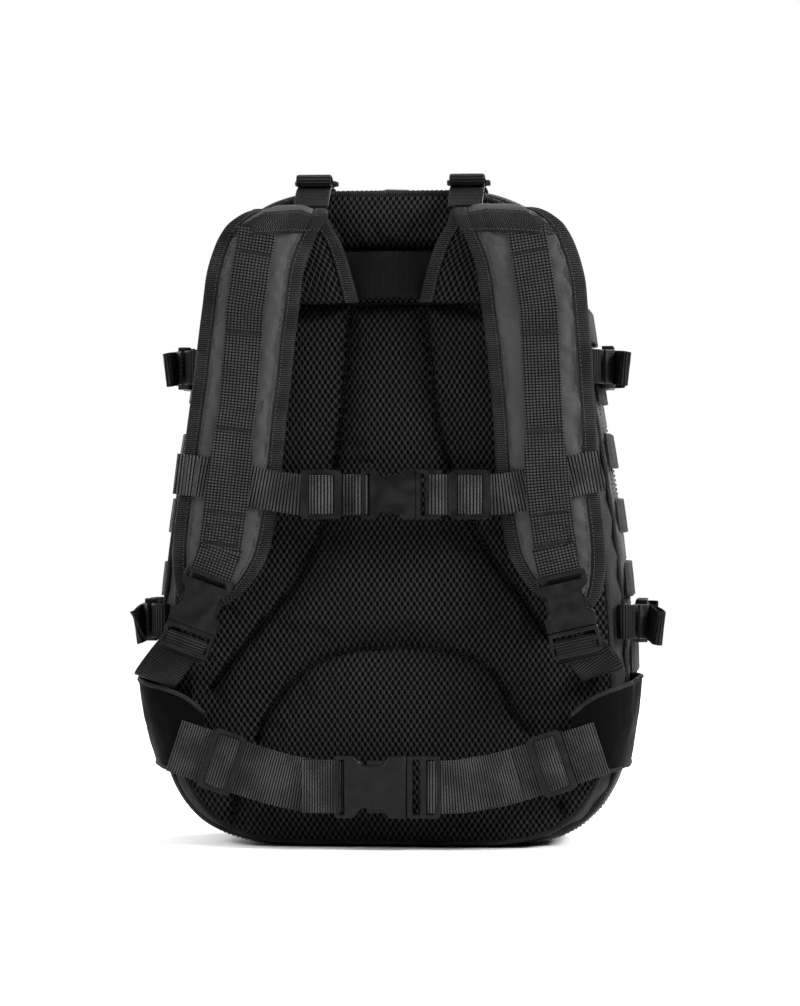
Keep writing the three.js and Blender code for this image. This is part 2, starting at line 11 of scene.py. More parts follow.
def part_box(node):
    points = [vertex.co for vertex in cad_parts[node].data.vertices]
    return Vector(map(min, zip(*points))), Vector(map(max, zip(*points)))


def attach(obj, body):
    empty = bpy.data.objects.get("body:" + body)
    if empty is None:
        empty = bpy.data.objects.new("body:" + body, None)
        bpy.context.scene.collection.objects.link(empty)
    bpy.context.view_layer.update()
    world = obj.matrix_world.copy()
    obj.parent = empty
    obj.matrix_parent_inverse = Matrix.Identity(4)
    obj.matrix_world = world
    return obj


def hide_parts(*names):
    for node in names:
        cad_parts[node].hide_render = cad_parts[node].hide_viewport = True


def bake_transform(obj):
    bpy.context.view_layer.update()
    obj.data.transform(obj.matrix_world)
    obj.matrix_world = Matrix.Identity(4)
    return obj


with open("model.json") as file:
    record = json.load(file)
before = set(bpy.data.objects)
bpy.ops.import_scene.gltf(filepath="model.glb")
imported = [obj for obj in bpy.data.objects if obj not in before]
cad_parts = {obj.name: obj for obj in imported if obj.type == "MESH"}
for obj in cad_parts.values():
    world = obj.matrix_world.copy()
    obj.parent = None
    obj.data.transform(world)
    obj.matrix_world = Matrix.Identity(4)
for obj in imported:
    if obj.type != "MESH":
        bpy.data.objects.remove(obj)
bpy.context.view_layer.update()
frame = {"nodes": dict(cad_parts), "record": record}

MM = 0.001
WALL_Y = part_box("back_panel")[1].y  # the bag's rear wall, y = 0 in the drawing
WEB = 1.6  # thickness of the webbing
TOUCHING = 0.00002  # metres within which the edges of two skins are one edge
X_AXIS = np.array([1.0, 0.0, 0.0])
Y_AXIS = np.array([0.0, 1.0, 0.0])
Z_AXIS = np.array([0.0, 0.0, 1.0])


# ------------------------------------------------------------------ shader shorthand
class Look:
    """A node material. Patterns are drawn in millimetres on the UV map that every mesh here carries."""

    def __init__(self, name, **sockets):
        self.mat = bpy.data.materials.new(name)
        self.mat.use_nodes = True
        self.tree = self.mat.node_tree
        self.bsdf = self.tree.nodes["Principled BSDF"]
        for socket, value in {"Specular_IOR_Level": 0.08, **sockets}.items():
            self.bsdf.inputs[socket.replace("_", " ")].default_value = value

    def node(self, kind, *inputs, **settings):
        made = self.tree.nodes.new(kind)
        for key, value in settings.items():
            setattr(made, key, value)
        for socket, value in zip(made.inputs, inputs):
            self.give(socket, value)
        return made

    def give(self, socket, value):
        if isinstance(value, bpy.types.NodeSocket):
            self.tree.links.new(value, socket)
        elif value is not None:
            socket.default_value = value

    def uv(self):
        return self.node("ShaderNodeUVMap", uv_map="weave").outputs[0]

    def space(self):
        return self.node("ShaderNodeTexCoord").outputs["Object"]

    def math(self, operation, a, b=0.0, c=0.0):
        return self.node("ShaderNodeMath", a, b, c, operation=operation).outputs[0]

    def vector(self, operation, a, b=(0, 0, 0)):
        made = self.node("ShaderNodeVectorMath", a, b, operation=operation)
        return made.outputs["Value" if operation == "LENGTH" else "Vector"]

    def cell(self, pitch, shift):
        """Where a point lies from the middle of its pattern cell, in millimetres."""
        across = (*pitch, 1)
        share = self.vector("ADD", self.vector("DIVIDE", self.uv(), across), (*shift, 0))
        middle = self.vector("SUBTRACT", self.vector("FRACTION", share), (0.5, 0.5, 0))
        return self.vector("MULTIPLY", middle, across)

    def spots(self, pitch, radii, sharp, shift=(0, 0)):
        """1 in round spots of those radii, one to a cell, and 0 between them."""
        away = self.vector("DIVIDE", self.cell(pitch, shift), (*radii, 1))
        return self.remap(self.vector("LENGTH", away), 1 + sharp, 1 - sharp)

    def remap(self, value, low, high, to_low=0.0, to_high=1.0):
        made = self.node("ShaderNodeMapRange", value, low, high, to_low, to_high)
        made.interpolation_type = "SMOOTHSTEP"
        return made.outputs[0]

    def wave(self, pitch, axis, bend=0.0, bend_pitch=1.0):
        """Ribs across one UV axis, from 0 to 1, that may zigzag along the other."""
        parts = self.node("ShaderNodeSeparateXYZ", self.uv()).outputs
        along, over = parts[axis], parts[1 - axis]
        if bend:
            zigzag = self.math("PINGPONG", over, bend_pitch / 2)
            along = self.math("ADD", along, self.math("MULTIPLY", zigzag, 2 * bend / bend_pitch))
        turn = self.math("MULTIPLY", along, 2 * math.pi / pitch)
        return self.math("MULTIPLY_ADD", self.math("SINE", turn), 0.5, 0.5)

    def noise(self, size, detail, rough=0.5):
        """Cloudy noise from 0 to 1, with blobs of that size in millimetres."""
        made = self.node("ShaderNodeTexNoise", self.space())
        made.inputs["Scale"].default_value = 1 / (size * MM)
        made.inputs["Detail"].default_value = detail
        made.inputs["Roughness"].default_value = rough
        return made.outputs["Fac"]

    def blend(self, share, dark, light):
        made = self.node("ShaderNodeMix", data_type="RGBA")
        self.give(made.inputs[0], share)
        for socket, colour in ((made.inputs[6], dark), (made.inputs[7], light)):
            self.give(socket, colour if isinstance(colour, bpy.types.NodeSocket) else (*colour, 1))
        return made.outputs[2]

    def done(self, colour, height, depth, rough=None):
        """Joins colour, relief (0 to 1, depth in millimetres) and roughness to the shader."""
        self.give(self.bsdf.inputs["Base Color"], colour)
        bump = self.node("ShaderNodeBump")
        bump.inputs["Distance"].default_value = depth * MM
        bump.inputs["Strength"].default_value = 1.0
        self.give(bump.inputs["Height"], height)
        self.give(self.bsdf.inputs["Normal"], bump.outputs[0])
        if rough is not None:
            self.give(self.bsdf.inputs["Roughness"], rough)
        return self.mat


def grey(level):
    """A linear colour from an sRGB level of 0 to 255."""
    c = level / 255
    c = c / 12.92 if c <= 0.04045 else ((c + 0.055) / 1.055) ** 2.4
    return (c, c, c)


def cloth(name, dark, light, pitch, depth=0.12, rough=0.75, sheen=0.06, coat=0.0, shine=0.08):
    """Plain-woven cloth: two thread directions that cross over and under, with faint wear."""
    look = Look(name, Sheen_Weight=sheen, Coat_Weight=coat, Coat_Roughness=0.45)
    look.bsdf.inputs["Specular IOR Level"].default_value = shine
    warp, weft = look.wave(pitch, 0), look.wave(pitch, 1)
    thread = look.math("MULTIPLY", warp, weft)
    cloudy = look.noise(45, 4)
    fibre = look.noise(1.2, 2)
    mixed = look.math("MULTIPLY_ADD", thread, 0.55, look.math("MULTIPLY", cloudy, 0.45))
    mixed = look.math("MULTIPLY_ADD", fibre, 0.25, mixed)
    colour = look.blend(look.remap(mixed, 0.1, 0.9), grey(dark), grey(light))
    height = look.math("MULTIPLY_ADD", fibre, 0.3, thread)
    roughness = look.remap(cloudy, 0.2, 0.8, rough - 0.08, rough + 0.08)
    return look.done(colour, height, depth, roughness)


def air_mesh(name):
    """Spacer mesh: staggered upright holes between soft bars."""
    look = Look(name, Sheen_Weight=0.0, Specular_IOR_Level=0.06)
    pitch, radii = (4.35, 6.74), (1.22, 2.05)
    one, two = look.spots(pitch, radii, 0.3), look.spots(pitch, radii, 0.3, (0.5, 0.5))
    hole = look.math("MAXIMUM", one, two)
    knit = look.math("MULTIPLY", look.wave(0.9, 0), look.wave(0.7, 1))
    cloudy = look.noise(60, 3)
    tone = look.math("MULTIPLY_ADD", knit, 0.5, look.math("MULTIPLY", cloudy, 0.5))
    bar = look.blend(tone, grey(10), grey(54))
    colour = look.blend(hole, bar, grey(0))
    height = look.math("SUBTRACT", look.math("MULTIPLY", knit, 0.15), hole)
    return look.done(colour, height, 1.2, look.remap(hole, 0, 1, 0.55, 0.95))


def plaid_webbing(name, dark, light):
    """Coarse webbing whose raised floats make rows of dots."""
    look = Look(name, Sheen_Weight=0.0, Specular_IOR_Level=0.04)
    pitch = (2.4, 2.06)
    dot, half = look.spots(pitch, (0.92, 0.74), 0.35), look.spots(pitch, (0.5, 0.5), 0.4, (0.5, 0.5))
    fibre = look.noise(0.8, 2)
    raised = look.math("MAXIMUM", dot, look.math("MULTIPLY", half, 0.15))
    tone = look.math("MULTIPLY", raised, look.remap(fibre, 0.2, 0.8, 0.65, 1.0))
    worn = look.math("MULTIPLY", tone, look.remap(look.noise(30, 3), 0.2, 0.8, 0.75, 1.0))
    colour = look.blend(worn, grey(dark), grey(light))
    return look.done(colour, raised, 0.45, look.remap(raised, 0, 1, 0.85, 0.6))


def ribbed_webbing(name, dark, light, pitch=1.5, bend=0.5, depth=0.3, rough=0.55, split=1.2):
    """Webbing with ribs across it that zigzag a little and break into floats."""
    look = Look(name, Sheen_Weight=0.0, Specular_IOR_Level=0.08)
    rib = look.wave(pitch, 1, bend, 3.2)
    floats = look.remap(look.wave(split, 0), 0.0, 0.7, 0.45, 1.0)
    fibre = look.noise(0.9, 2)
    raised = look.math("MULTIPLY", look.remap(rib, 0.1, 0.85), floats)
    tone = look.math("MULTIPLY", raised, look.remap(fibre, 0.25, 0.75, 0.6, 1.0))
    tone = look.math("MULTIPLY", tone, look.remap(look.noise(22, 3), 0.32, 0.68, 0.5, 1.1))
    colour = look.blend(tone, grey(dark), grey(light))
    return look.done(colour, raised, depth, look.remap(fibre, 0.2, 0.8, rough - 0.06, rough + 0.08))


def moulded(name, dark, light, rough):
    """Moulded plastic with a fine eroded surface and rubbed patches."""
    look = Look(name, Specular_IOR_Level=0.19)
    grain, cloudy = look.noise(0.35, 2), look.noise(9, 4)
    colour = look.blend(look.remap(cloudy, 0.3, 0.75), grey(dark), grey(light))
    height = look.math("MULTIPLY_ADD", cloudy, 0.6, grain)
    return look.done(colour, height, 0.05, look.remap(cloudy, 0.25, 0.75, rough - 0.08, rough + 0.08))


def painted_metal(name):
    """Zip sliders: black paint over metal, a little cloudy."""
    look = Look(name, Metallic=0.75, Coat_Weight=0.3, Coat_Roughness=0.2)
    cloudy, pits = look.noise(4, 4), look.noise(0.3, 2)
    colour = look.blend(look.remap(cloudy, 0.4, 0.7), grey(34), grey(72))
    height = look.math("MULTIPLY_ADD", pits, 0.4, cloudy)
    return look.done(colour, height, 0.04, look.remap(cloudy, 0.3, 0.7, 0.3, 0.5))


def thread_look(name, level):
    """Twisted sewing thread."""
    look = Look(name, Sheen_Weight=0.1, Sheen_Roughness=0.4)
    twist = look.wave(0.8, 1)
    colour = look.blend(look.math("MULTIPLY", twist, look.noise(6, 2)), grey(level - 25), grey(level + 25))
    return look.done(colour, twist, 0.08, look.remap(look.noise(5, 2), 0.3, 0.7, 0.5, 0.7))


def loop_field(name):
    """Brushed loop fabric."""
    look = Look(name, Sheen_Weight=0.08, Sheen_Roughness=0.4)
    fuzz, tuft = look.noise(0.7, 5, 0.75), look.noise(2.2, 3)
    tone = look.math("MULTIPLY_ADD", fuzz, 0.7, look.math("MULTIPLY", tuft, 0.3))
    colour = look.blend(look.remap(tone, 0.3, 0.7), grey(8), grey(34))
    return look.done(colour, fuzz, 0.7, look.remap(fuzz, 0.2, 0.8, 0.85, 1.0))


def zip_look(name):
    """A nylon coil: two rows of teeth that meet in the middle."""
    look = Look(name, Coat_Weight=0.15, Coat_Roughness=0.3)
    teeth = look.wave(1.25, 1)
    colour = look.blend(teeth, grey(10), grey(46))
    return look.done(colour, teeth, 0.5, look.remap(look.noise(6, 2), 0.2, 0.8, 0.4, 0.55))


# After each name come its darkest and lightest sRGB levels, then the pitch of its weave in mm.
NYLON = cloth("pack_nylon", 20, 50, 0.95)
FACE = cloth("strap_nylon", 35, 68, 0.8, depth=0.08, rough=0.62, sheen=0.02)
LINING = cloth("coated_lining", 26, 42, 1.1, 0.05, 0.5, 0.05, 0.15)
COATED = cloth("coated_cloth", 1, 8, 0.8, 0.05, 0.5, 0.0, 0.0, 0.02)
MESH = air_mesh("air_mesh")
PLAID = plaid_webbing("plaid_webbing", 0, 64)
SMOOTH_WEB = ribbed_webbing("belt_webbing", 0, 77, 1.9, 0.3, 0.4)
RIB_WEB = ribbed_webbing("sternum_webbing", 0, 78, 2.3, 0.2, 0.5, split=1.3)
DARK_WEB = ribbed_webbing("side_webbing", 0, 46, 1.9, 0.3, 0.45)
BINDING = ribbed_webbing("grosgrain", 0, 58, 1.6, 0.6, 0.35, 0.7)
PLASTIC = moulded("buckle_plastic", 0, 13, 0.36)
METAL = painted_metal("zip_metal")
THREAD = thread_look("thread", 58)
DARK_THREAD = thread_look("dark_thread", 26)
HANDLE_WEB = ribbed_webbing("handle_webbing", 0, 24, 1.7, 0.2, 0.3)
# Near-black cloth for the tubes sunk in the back panel's seam valleys: painted shade that darkens the
# valleys.
SEAM_SHADE = cloth("seam_painted_shade", 0, 3, 1.0, rough=0.9, sheen=0.0)
LOOP = loop_field("loop_fabric")
COIL = zip_look("zip_coil")
TAPE = ribbed_webbing("zip_tape", 8, 26, 0.8, 0.0, 0.1)


# ------------------------------------------------------------------ geometry shorthand
def unit(v):
    v = np.asarray(v, float)
    return v / np.maximum(np.linalg.norm(v, axis=-1, keepdims=True), 1e-9)


def spline(path, step):
    """Even steps along a smooth curve through the points; columns after the third go along."""
    p = np.asarray(path, float)
    d = np.linalg.norm(np.diff(p[:, :3], axis=0), axis=1)
    s = np.r_[0, np.cumsum(d)]
    slope = np.diff(p, axis=0) / d[:, None]
    m = np.empty_like(p)
    m[0], m[-1] = slope[0], slope[-1]
    m[1:-1] = (slope[:-1] * d[1:, None] + slope[1:] * d[:-1, None]) / (d[:-1] + d[1:])[:, None]
    t = np.linspace(0, s[-1], max(3, int(round(s[-1] / step)) + 1))
    i = np.clip(np.searchsorted(s, t, side="right") - 1, 0, len(d) - 1)
    h, x = d[i][:, None], ((t - s[i]) / d[i])[:, None]
    start = p[i] * (2 * x**3 - 3 * x**2 + 1) + m[i] * h * (x**3 - 2 * x**2 + x)
    return start + p[i + 1] * (3 * x**2 - 2 * x**3) + m[i + 1] * h * (x**3 - x**2)


def along(points):
    """Length run at each point of a path."""
    return np.r_[0, np.cumsum(np.linalg.norm(np.diff(points, axis=0), axis=1))]


def evenly(points, count, endpoint=True):
    """That many points, evenly spaced along a path."""
    length = along(points)
    s = np.linspace(0, length[-1], count, endpoint=endpoint)
    return np.stack([np.interp(s, length, column) for column in points.T], 1)


def nearest(points, axis, value):
    """The index of the point whose x, y or z (axis) is nearest to a value."""
    return int(np.argmin(np.abs(points[:, axis] - value)))


def ease(x):
    """Smooth rise from 0 to 1 as x goes from 0 to 1."""
    return x * x * (3 - 2 * x)


def frames(points, across):
    """Side and face vectors along a path; the side leans to `across`."""
    tangent = unit(np.gradient(points, axis=0))
    across = np.broadcast_to(np.asarray(across, float), points.shape)
    side = unit(across - tangent * np.sum(across * tangent, axis=1, keepdims=True))
    return side, np.cross(tangent, side)


def ripple(points, size, seed=0.0):
    """Smooth noise from -1 to 1 at each point, with waves of that size."""
    shift = Vector((seed * 7.1, seed * 3.3, seed * 5.7))
    flat = np.reshape(points, (-1, 3)) / size
    values = [noise.noise(Vector(p) + shift) for p in flat]
    return np.reshape(values, np.shape(points)[:-1])


class Form:
    """A mesh being put together from grids, tubes and stamped copies."""

    def __init__(self):
        self.verts, self.faces, self.corners, self.look = [], [], [], []
        self.count = 0

    def add(self, verts, faces, corners, look=0):
        self.verts.append(np.reshape(verts, (-1, 3)))
        self.faces += [[i + self.count for i in face] for face in faces]
        self.corners.append(np.reshape(corners, (-1, 2)))
        self.look += [look] * len(faces)
        self.count += len(self.verts[-1])

    def grid(self, points, uv, look=0, wrap=False, caps=False):
        """Quads over rows of points; wrap joins each row's ends and caps closes the first and last."""
        rows, cols = points.shape[:2]
        span = cols if wrap else cols - 1
        r, c = np.meshgrid(np.arange(rows - 1), np.arange(span), indexing="ij")
        r, c = r.ravel(), c.ravel()
        d = (c + 1) % cols
        quads = np.stack([r * cols + c, r * cols + d, (r + 1) * cols + d, (r + 1) * cols + c], 1)
        e = c + 1 if uv.shape[1] > cols else d
        corners = np.stack([uv[r, c], uv[r, e], uv[r + 1, e], uv[r + 1, c]], 1)
        faces = quads.tolist()
        corners = [corners.reshape(-1, 2)]
        if caps:
            for row in (0, rows - 1):
                faces.append((np.arange(cols) + row * cols).tolist())
                corners.append(uv[row, :cols])
        self.add(points, faces, np.vstack(corners), look)

    def stamp(self, verts, faces, origins, x, y, z, look=0):
        """Copies of a small mesh at each origin, its axes turned to x, y and z."""
        n, k = len(origins), len(verts)
        basis = np.stack([np.broadcast_to(a, (n, 3)) for a in (x, y, z)], 1)
        placed = np.einsum("vi,nij->nvj", verts, basis) + np.asarray(origins)[:, None]
        shifted = [[i + j * k for i in face] for j in range(n) for face in faces]
        corners = np.array([[verts[i][1], verts[i][0]] for face in faces for i in face])
        self.add(placed, shifted, np.tile(corners, (n, 1)), look)

    def build(self, name, *materials):
        """The mesh object, in metres, with its faces outward and its creases sharp."""
        data = bpy.data.meshes.new(name)
        points = np.vstack(self.verts) * MM
        points[:, 1] += WALL_Y
        data.from_pydata(points.tolist(), [], self.faces)
        data.uv_layers.new(name="weave").data.foreach_set("uv", np.vstack(self.corners).ravel())
        for material in materials:
            data.materials.append(material)
        data.polygons.foreach_set("material_index", np.array(self.look, np.int32))
        tidy_faces(data)
        data.shade_smooth()
        data.set_sharp_from_angle(angle=math.radians(42))
        piece = bpy.data.objects.new(name, data)
        bpy.context.scene.collection.objects.link(piece)
        return piece


def tidy_faces(data, weld=0.0):
    """Turns the faces outward, after joining points closer than `weld` metres."""
    work = bmesh.new()
    work.from_mesh(data)
    if weld:
        bmesh.ops.remove_doubles(work, verts=work.verts, dist=weld)
    bmesh.ops.recalc_face_normals(work, faces=work.faces)
    work.to_mesh(data)
    work.free()


def capsule(length, radius, sides=6):
    """A stitch: a rounded thread along X whose ends dip into the cloth."""
    stations = [(-0.5, 0.35, -1.3), (-0.38, 0.85, -0.35), (0, 1, 0.1), (0.38, 0.85, -0.35), (0.5, 0.35, -1.3)]
    verts = []
    for x, r, dip in stations:
        for k in range(sides):
            turn = 2 * math.pi * k / sides
            verts.append((x * length, r * radius * math.cos(turn), radius * (dip + r * math.sin(turn))))
    faces = []
    for s in range(len(stations) - 1):
        for k in range(sides):
            a, b = s * sides + k, s * sides + (k + 1) % sides
            faces.append([a, b, b + sides, a + sides])
    faces += [list(range(sides)), list(range(len(verts) - sides, len(verts)))]
    return np.array(verts), faces


STITCH = capsule(2.3, 0.34)
BAR = capsule(2.6, 0.36, 5)


def stitch_line(form, path, face, pitch=3.0, look=0):
    """Stitches along a path; face is which way the cloth looks there."""
    length = along(path)
    if length[-1] < pitch:
        return
    t = np.arange(pitch / 2, length[-1], pitch)
    at = np.stack([np.interp(t, length, path[:, k]) for k in range(3)], 1)
    way = unit(np.gradient(path, axis=0))
    x = unit(np.stack([np.interp(t, length, way[:, k]) for k in range(3)], 1))
    face = np.broadcast_to(np.asarray(face, float), path.shape)
    z = unit(np.stack([np.interp(t, length, face[:, k]) for k in range(3)], 1))
    form.stamp(*STITCH, at, x, np.cross(z, x), z, look)


def bartack(form, at, across, face, width):
    """A dense bar of thread, `width` long, that holds webbing down."""
    across, face = unit(across), unit(face)
    run = np.arange(-width / 2, width / 2 + 0.01, 0.75)
    at = np.asarray(at, float) + run[:, None] * across
    way = np.cross(face, across)
    lean = np.where(np.arange(len(run)) % 2, 0.16, -0.16)[:, None]
    x = unit(way + lean * across)
    form.stamp(*BAR, at, x, np.cross(face, x), face)


def web_section(width, thick):
    """Ring (u, n) round flat webbing with soft selvedges."""
    h, e = width / 2, thick / 2
    steps = ((0, 0.25), (0.2, 0.8), (0.7, 1.0), (1.8, 0.9))
    edge = [(-h + u * thick, n * e) for u, n in steps] + [(-h * 0.5, e)]
    top = edge + [(0, 1.02 * e)] + [(-u, n) for u, n in reversed(edge)]
    return np.array(top + [(u, -n) for u, n in reversed(top)])


def sweep(form, points, across, width, thick, widths, look=0):
    """A flat section along points, scaled to each of the widths. Returns its side and face vectors."""
    side, face = frames(points, across)
    section = web_section(width, thick)
    scale = (widths / width)[:, None, None]
    rings = points[:, None] + side[:, None] * section[None, :, :1] * scale
    rings = rings + face[:, None] * section[None, :, 1:]
    run = np.broadcast_to(along(points)[:, None], rings.shape[:2])
    uv = np.stack([section[None, :, 0] * scale[:, :, 0], run], 2)
    form.grid(rings, uv, look, wrap=True, caps=True)
    return side, face


def ribbon(form, path, width, across, thick=WEB, step=2.5, wobble=0.0, seed=1.0):
    """Webbing swept along a path. Returns its centre line, side and face vectors."""
    points = spline(path, step)
    widths = points[:, 3] if points.shape[1] > 3 else np.full(len(points), width)
    points = points[:, :3]
    if wobble:
        _, face = frames(points, across)
        fade = np.sin(np.linspace(0, math.pi, len(points)))[:, None]
        points = points + face * fade * wobble * ripple(points, 22, seed)[:, None]
    return points, *sweep(form, points, across, width, thick, widths)


def tube(form, points, radius, look=0, closed=False):
    """A round cord, such as piping, along a path."""
    sides = 8
    tangent = unit(np.gradient(points, axis=0))
    if closed:
        tangent[0] = tangent[-1] = unit(points[1] - points[-2])
    helper = np.where(np.abs(tangent[:, 1:2]) < 0.9, Y_AXIS, X_AXIS)
    side = unit(np.cross(tangent, helper))
    up = np.cross(side, tangent)
    turn = np.linspace(0, 2 * math.pi, sides, endpoint=False)
    round_way = np.cos(turn)[:, None] * side[:, None] + np.sin(turn)[:, None] * up[:, None]
    rings = points[:, None] + radius * round_way
    girth = np.linspace(0, 2 * math.pi * radius, sides + 1)
    uv = np.stack(np.meshgrid(girth, along(points)), 2)
    form.grid(rings, uv, look, wrap=True, caps=not closed)


def piece(form, name, body, slot, *materials, replaces=None, welded=False, bends=None):
    """Builds a form as a piece that rides a body; `replaces` is the CAD node that it stands for.

    `bends`, when given, leaves it on no body with its placing baked in; its two points are not used.
    """
    made = form.build(name, *materials)
    if welded:
        tidy_faces(made.data, TOUCHING)
    if bends:
        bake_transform(made)
    else:
        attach(made, body)
    if replaces:
        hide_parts(replaces)
    return made


def border(grid):
    """The points once round the edge of a grid."""
    return np.concatenate([grid[0], grid[1:, -1], grid[-1, -2::-1], grid[-2:0:-1, 0]])


def closing(path):
    """A path that ends where it starts."""
    return np.vstack([path, path[:1]])


def level_path(points, z, side=1):
    """(x, y) points at one height; side -1 mirrors them."""
    return [(side * x, y, z) for x, y in points]


def loft(form, rings, look=0):
    """The skin through a stack of closed rings."""
    form.grid(rings, round_uv(rings), look, wrap=True)


def flat_face(form, rim, look):
    form.add(rim, [list(range(len(rim)))], rim[:, [0, 2]], look)


def two_sided(form, front, back, uv):
    """A sheet's two faces and the strip round its edge. Returns the two rims."""
    form.grid(front, uv)
    form.grid(back, uv)
    rim = np.array([border(front), border(back)])
    loft(form, rim)
    return rim


def fan_cap(form, fan, look):
    """Closes a ring with smaller rings towards its middle, and a last small face."""
    form.grid(fan, fan[..., [0, 2]], look, wrap=True)
    flat_face(form, fan[-1], look)


SETTLE_FRAMES = 20


def settle(points, held, away, wrap=False, pressure=4.0, grow=0.02, cap=8.0, skip=(2, 2)):
    """Cloth simulation of a grid, run on every few rows and columns of it (skip).

    The cloth is cut larger by `grow`, blown out towards `away` between its held points and left to
    settle. No point moves further than `cap` millimetres.
    """
    rows, cols = points.shape[:2]
    r = np.unique(np.append(np.arange(0, rows, skip[0]), rows - 1))
    c = np.arange(0, cols, skip[1])
    c = c if wrap else np.unique(np.append(c, cols - 1))
    small = points[np.ix_(r, c)]
    n, m = small.shape[:2]
    i, j = np.meshgrid(np.arange(n - 1), np.arange(m if wrap else m - 1), indexing="ij")
    i, j = i.ravel(), j.ravel()
    k = (j + 1) % m
    quads = np.stack([i * m + j, i * m + k, (i + 1) * m + k, (i + 1) * m + j], 1)
    flat = small.reshape(-1, 3)
    corner = [flat[quads[:, q]] for q in range(4)]
    normal = np.cross(corner[2] - corner[0], corner[3] - corner[1])
    away = np.broadcast_to(away, points.shape)[np.ix_(r, c)].reshape(-1, 3)[quads[:, 0]]
    if np.sum(normal * away) < 0:
        quads = quads[:, ::-1]
    data = bpy.data.meshes.new("settling")
    data.from_pydata((flat * MM).tolist(), [], quads.tolist())
    cloth = bpy.data.objects.new("settling", data)
    bpy.context.scene.collection.objects.link(cloth)
    pins = cloth.vertex_groups.new(name="held")
    pins.add(np.flatnonzero(held[np.ix_(r, c)].ravel()).tolist(), 1.0, "REPLACE")
    sim = cloth.modifiers.new("cloth", "CLOTH")
    sim.point_cache.frame_start, sim.point_cache.frame_end = 1, SETTLE_FRAMES
    sim.collision_settings.use_collision = False
    how = sim.settings
    how.quality, how.mass, how.vertex_group_mass = 5, 0.3, "held"
    how.use_pressure, how.uniform_pressure_force, how.shrink_min = True, pressure, -grow
    how.effector_weights.gravity = 0.0
    for step in range(1, SETTLE_FRAMES + 1):
        bpy.context.scene.frame_set(step)
    shown = cloth.evaluated_get(bpy.context.evaluated_depsgraph_get())
    made = np.array([v.co for v in shown.data.vertices]) / MM
    bpy.data.objects.remove(cloth)
    bpy.data.meshes.remove(data)
    bpy.context.scene.frame_set(1)
    moved = made - flat
    far = np.linalg.norm(moved, axis=1, keepdims=True)
    moved = (moved * np.minimum(1, cap / np.maximum(far, 1e-6))).reshape(n, m, 3)
    if wrap:
        moved, c = np.concatenate([moved, moved[:, :1]], 1), np.append(c, cols)
    full = []
    for axis in range(3):
        tall = np.array([np.interp(np.arange(rows), r, line) for line in moved[:, :, axis].T])
        full.append([np.interp(np.arange(cols), c, line) for line in tall.T])
    settled = points + np.stack(full, 2)
    settled[..., 2] = np.maximum(settled[..., 2], 0.0)
    return settled


# ------------------------------------------------------------------ bag outlines
# Each is (base z, top z, half width low down, half width high up).
PACK = (0, 472, 170, 135)
BACK = (5, 468, 157, 123)
FRONT = (30, 462, 160, 126)
FRONT_FACE = (64, 450, 150, 116)


MIDDLE_Z = 236  # half way up the bag
HALF_RING = 150  # points from the middle of the base to the middle of the top


def outline(spec, by=0.0):
    """(x, z) once round a bag outline from the middle of its base, evenly spaced; by insets it."""
    low, high, hl, hh = spec[0] + by, spec[1] - by, spec[2] - by, spec[3] - by

    def at(x, share):
        return (x, low + share * (high - low))

    knots = [
        [(hl * 0.4, low), at(hl * 0.82, 0), at(hl, 0.06), at(hl, 0.24)],
        [at(hl, 0.24), at(hl, 0.45), at(hh * 1.07, 0.68), at(hh, 0.83)],
        [at(hh, 0.83), at(hh * 0.93, 0.95), at(hh * 0.7, 1), at(hh * 0.26, 1)],
    ]
    t = np.linspace(0, 1, 60)[:, None]
    share = [(1 - t) ** 3, 3 * (1 - t) ** 2 * t, 3 * (1 - t) * t * t, t**3]
    curve = [sum(w * knot for w, knot in zip(share, four)) for four in np.array(knots)]
    half = np.vstack([[[0, low]], *curve, [[0, high]]])
    half = evenly(half, HALF_RING)
    return np.vstack([half, half[-2:0:-1] * [-1, 1]])


def half_width(spec, z):
    """How far an outline reaches from the middle at a height."""
    edge = outline(spec)[:HALF_RING]
    return np.interp(z, edge[:, 1], edge[:, 0])


def ring(spec, y, by):
    """A bag outline as (x, y, z) points at one depth."""
    flat = outline(spec, by)
    return np.stack([flat[:, 0], np.full(len(flat), float(y)), flat[:, 1]], 1)


def round_uv(rings):
    """UV round and along a stack of closed rings."""
    girth = along(closing(rings[len(rings) // 2]))
    depth = np.r_[0, np.cumsum(np.linalg.norm(np.diff(rings, axis=0), axis=2).mean(1))]
    return np.stack(np.meshgrid(girth, depth), 2)


# ------------------------------------------------------------------ padded back panel
# Quilting seams as (x, z) points.
LEFT_CHANNEL = [
    (-29, 386), (-33, 336), (-40, 275), (-47, 242), (-57, 212), (-75, 182), (-96, 158), (-112, 138),
    (-129, 114),
]
RIGHT_CHANNEL = [
    (24, 386), (29, 350), (36, 296), (44, 270), (57, 239), (74, 206), (93, 182), (111, 155), (125, 138),
]
ARCH = [
    (-96, 77), (-92, 91), (-79, 111), (-59, 129), (-36, 139), (-5, 143), (22, 143), (49, 139), (65, 133),
    (79, 118), (89, 97), (99, 84),
]
CREASES = [[(-114, 20), (-111, 40)], [(121, 32), (124.5, 21)]]
SEAM_HIGH, SEAM_LOW = 428, 390
QUILT = (8.4, 5.0)  # full rise of the padding, and how soon it rises beside a seam
PANEL_Y = -7.0  # the back panel's face before it rises


def seam_shade_tube(form, line):
    """A near-black tube sunk in a seam's valley, painted shade that darkens it, with stitches along it."""
    sunk, radius = 0.9, 1.9
    path = spline([(x, 0, z) for x, z in line], 3.0)
    path[:, 1] = PANEL_Y - quilt(path[:, [0, 2]], [line]) + sunk
    # The tube takes material 1, near-black: painted shade along the valley.
    tube(form, path, radius, look=1)
    path[:, 1] -= radius
    stitch_line(form, path, -Y_AXIS, 3.4)


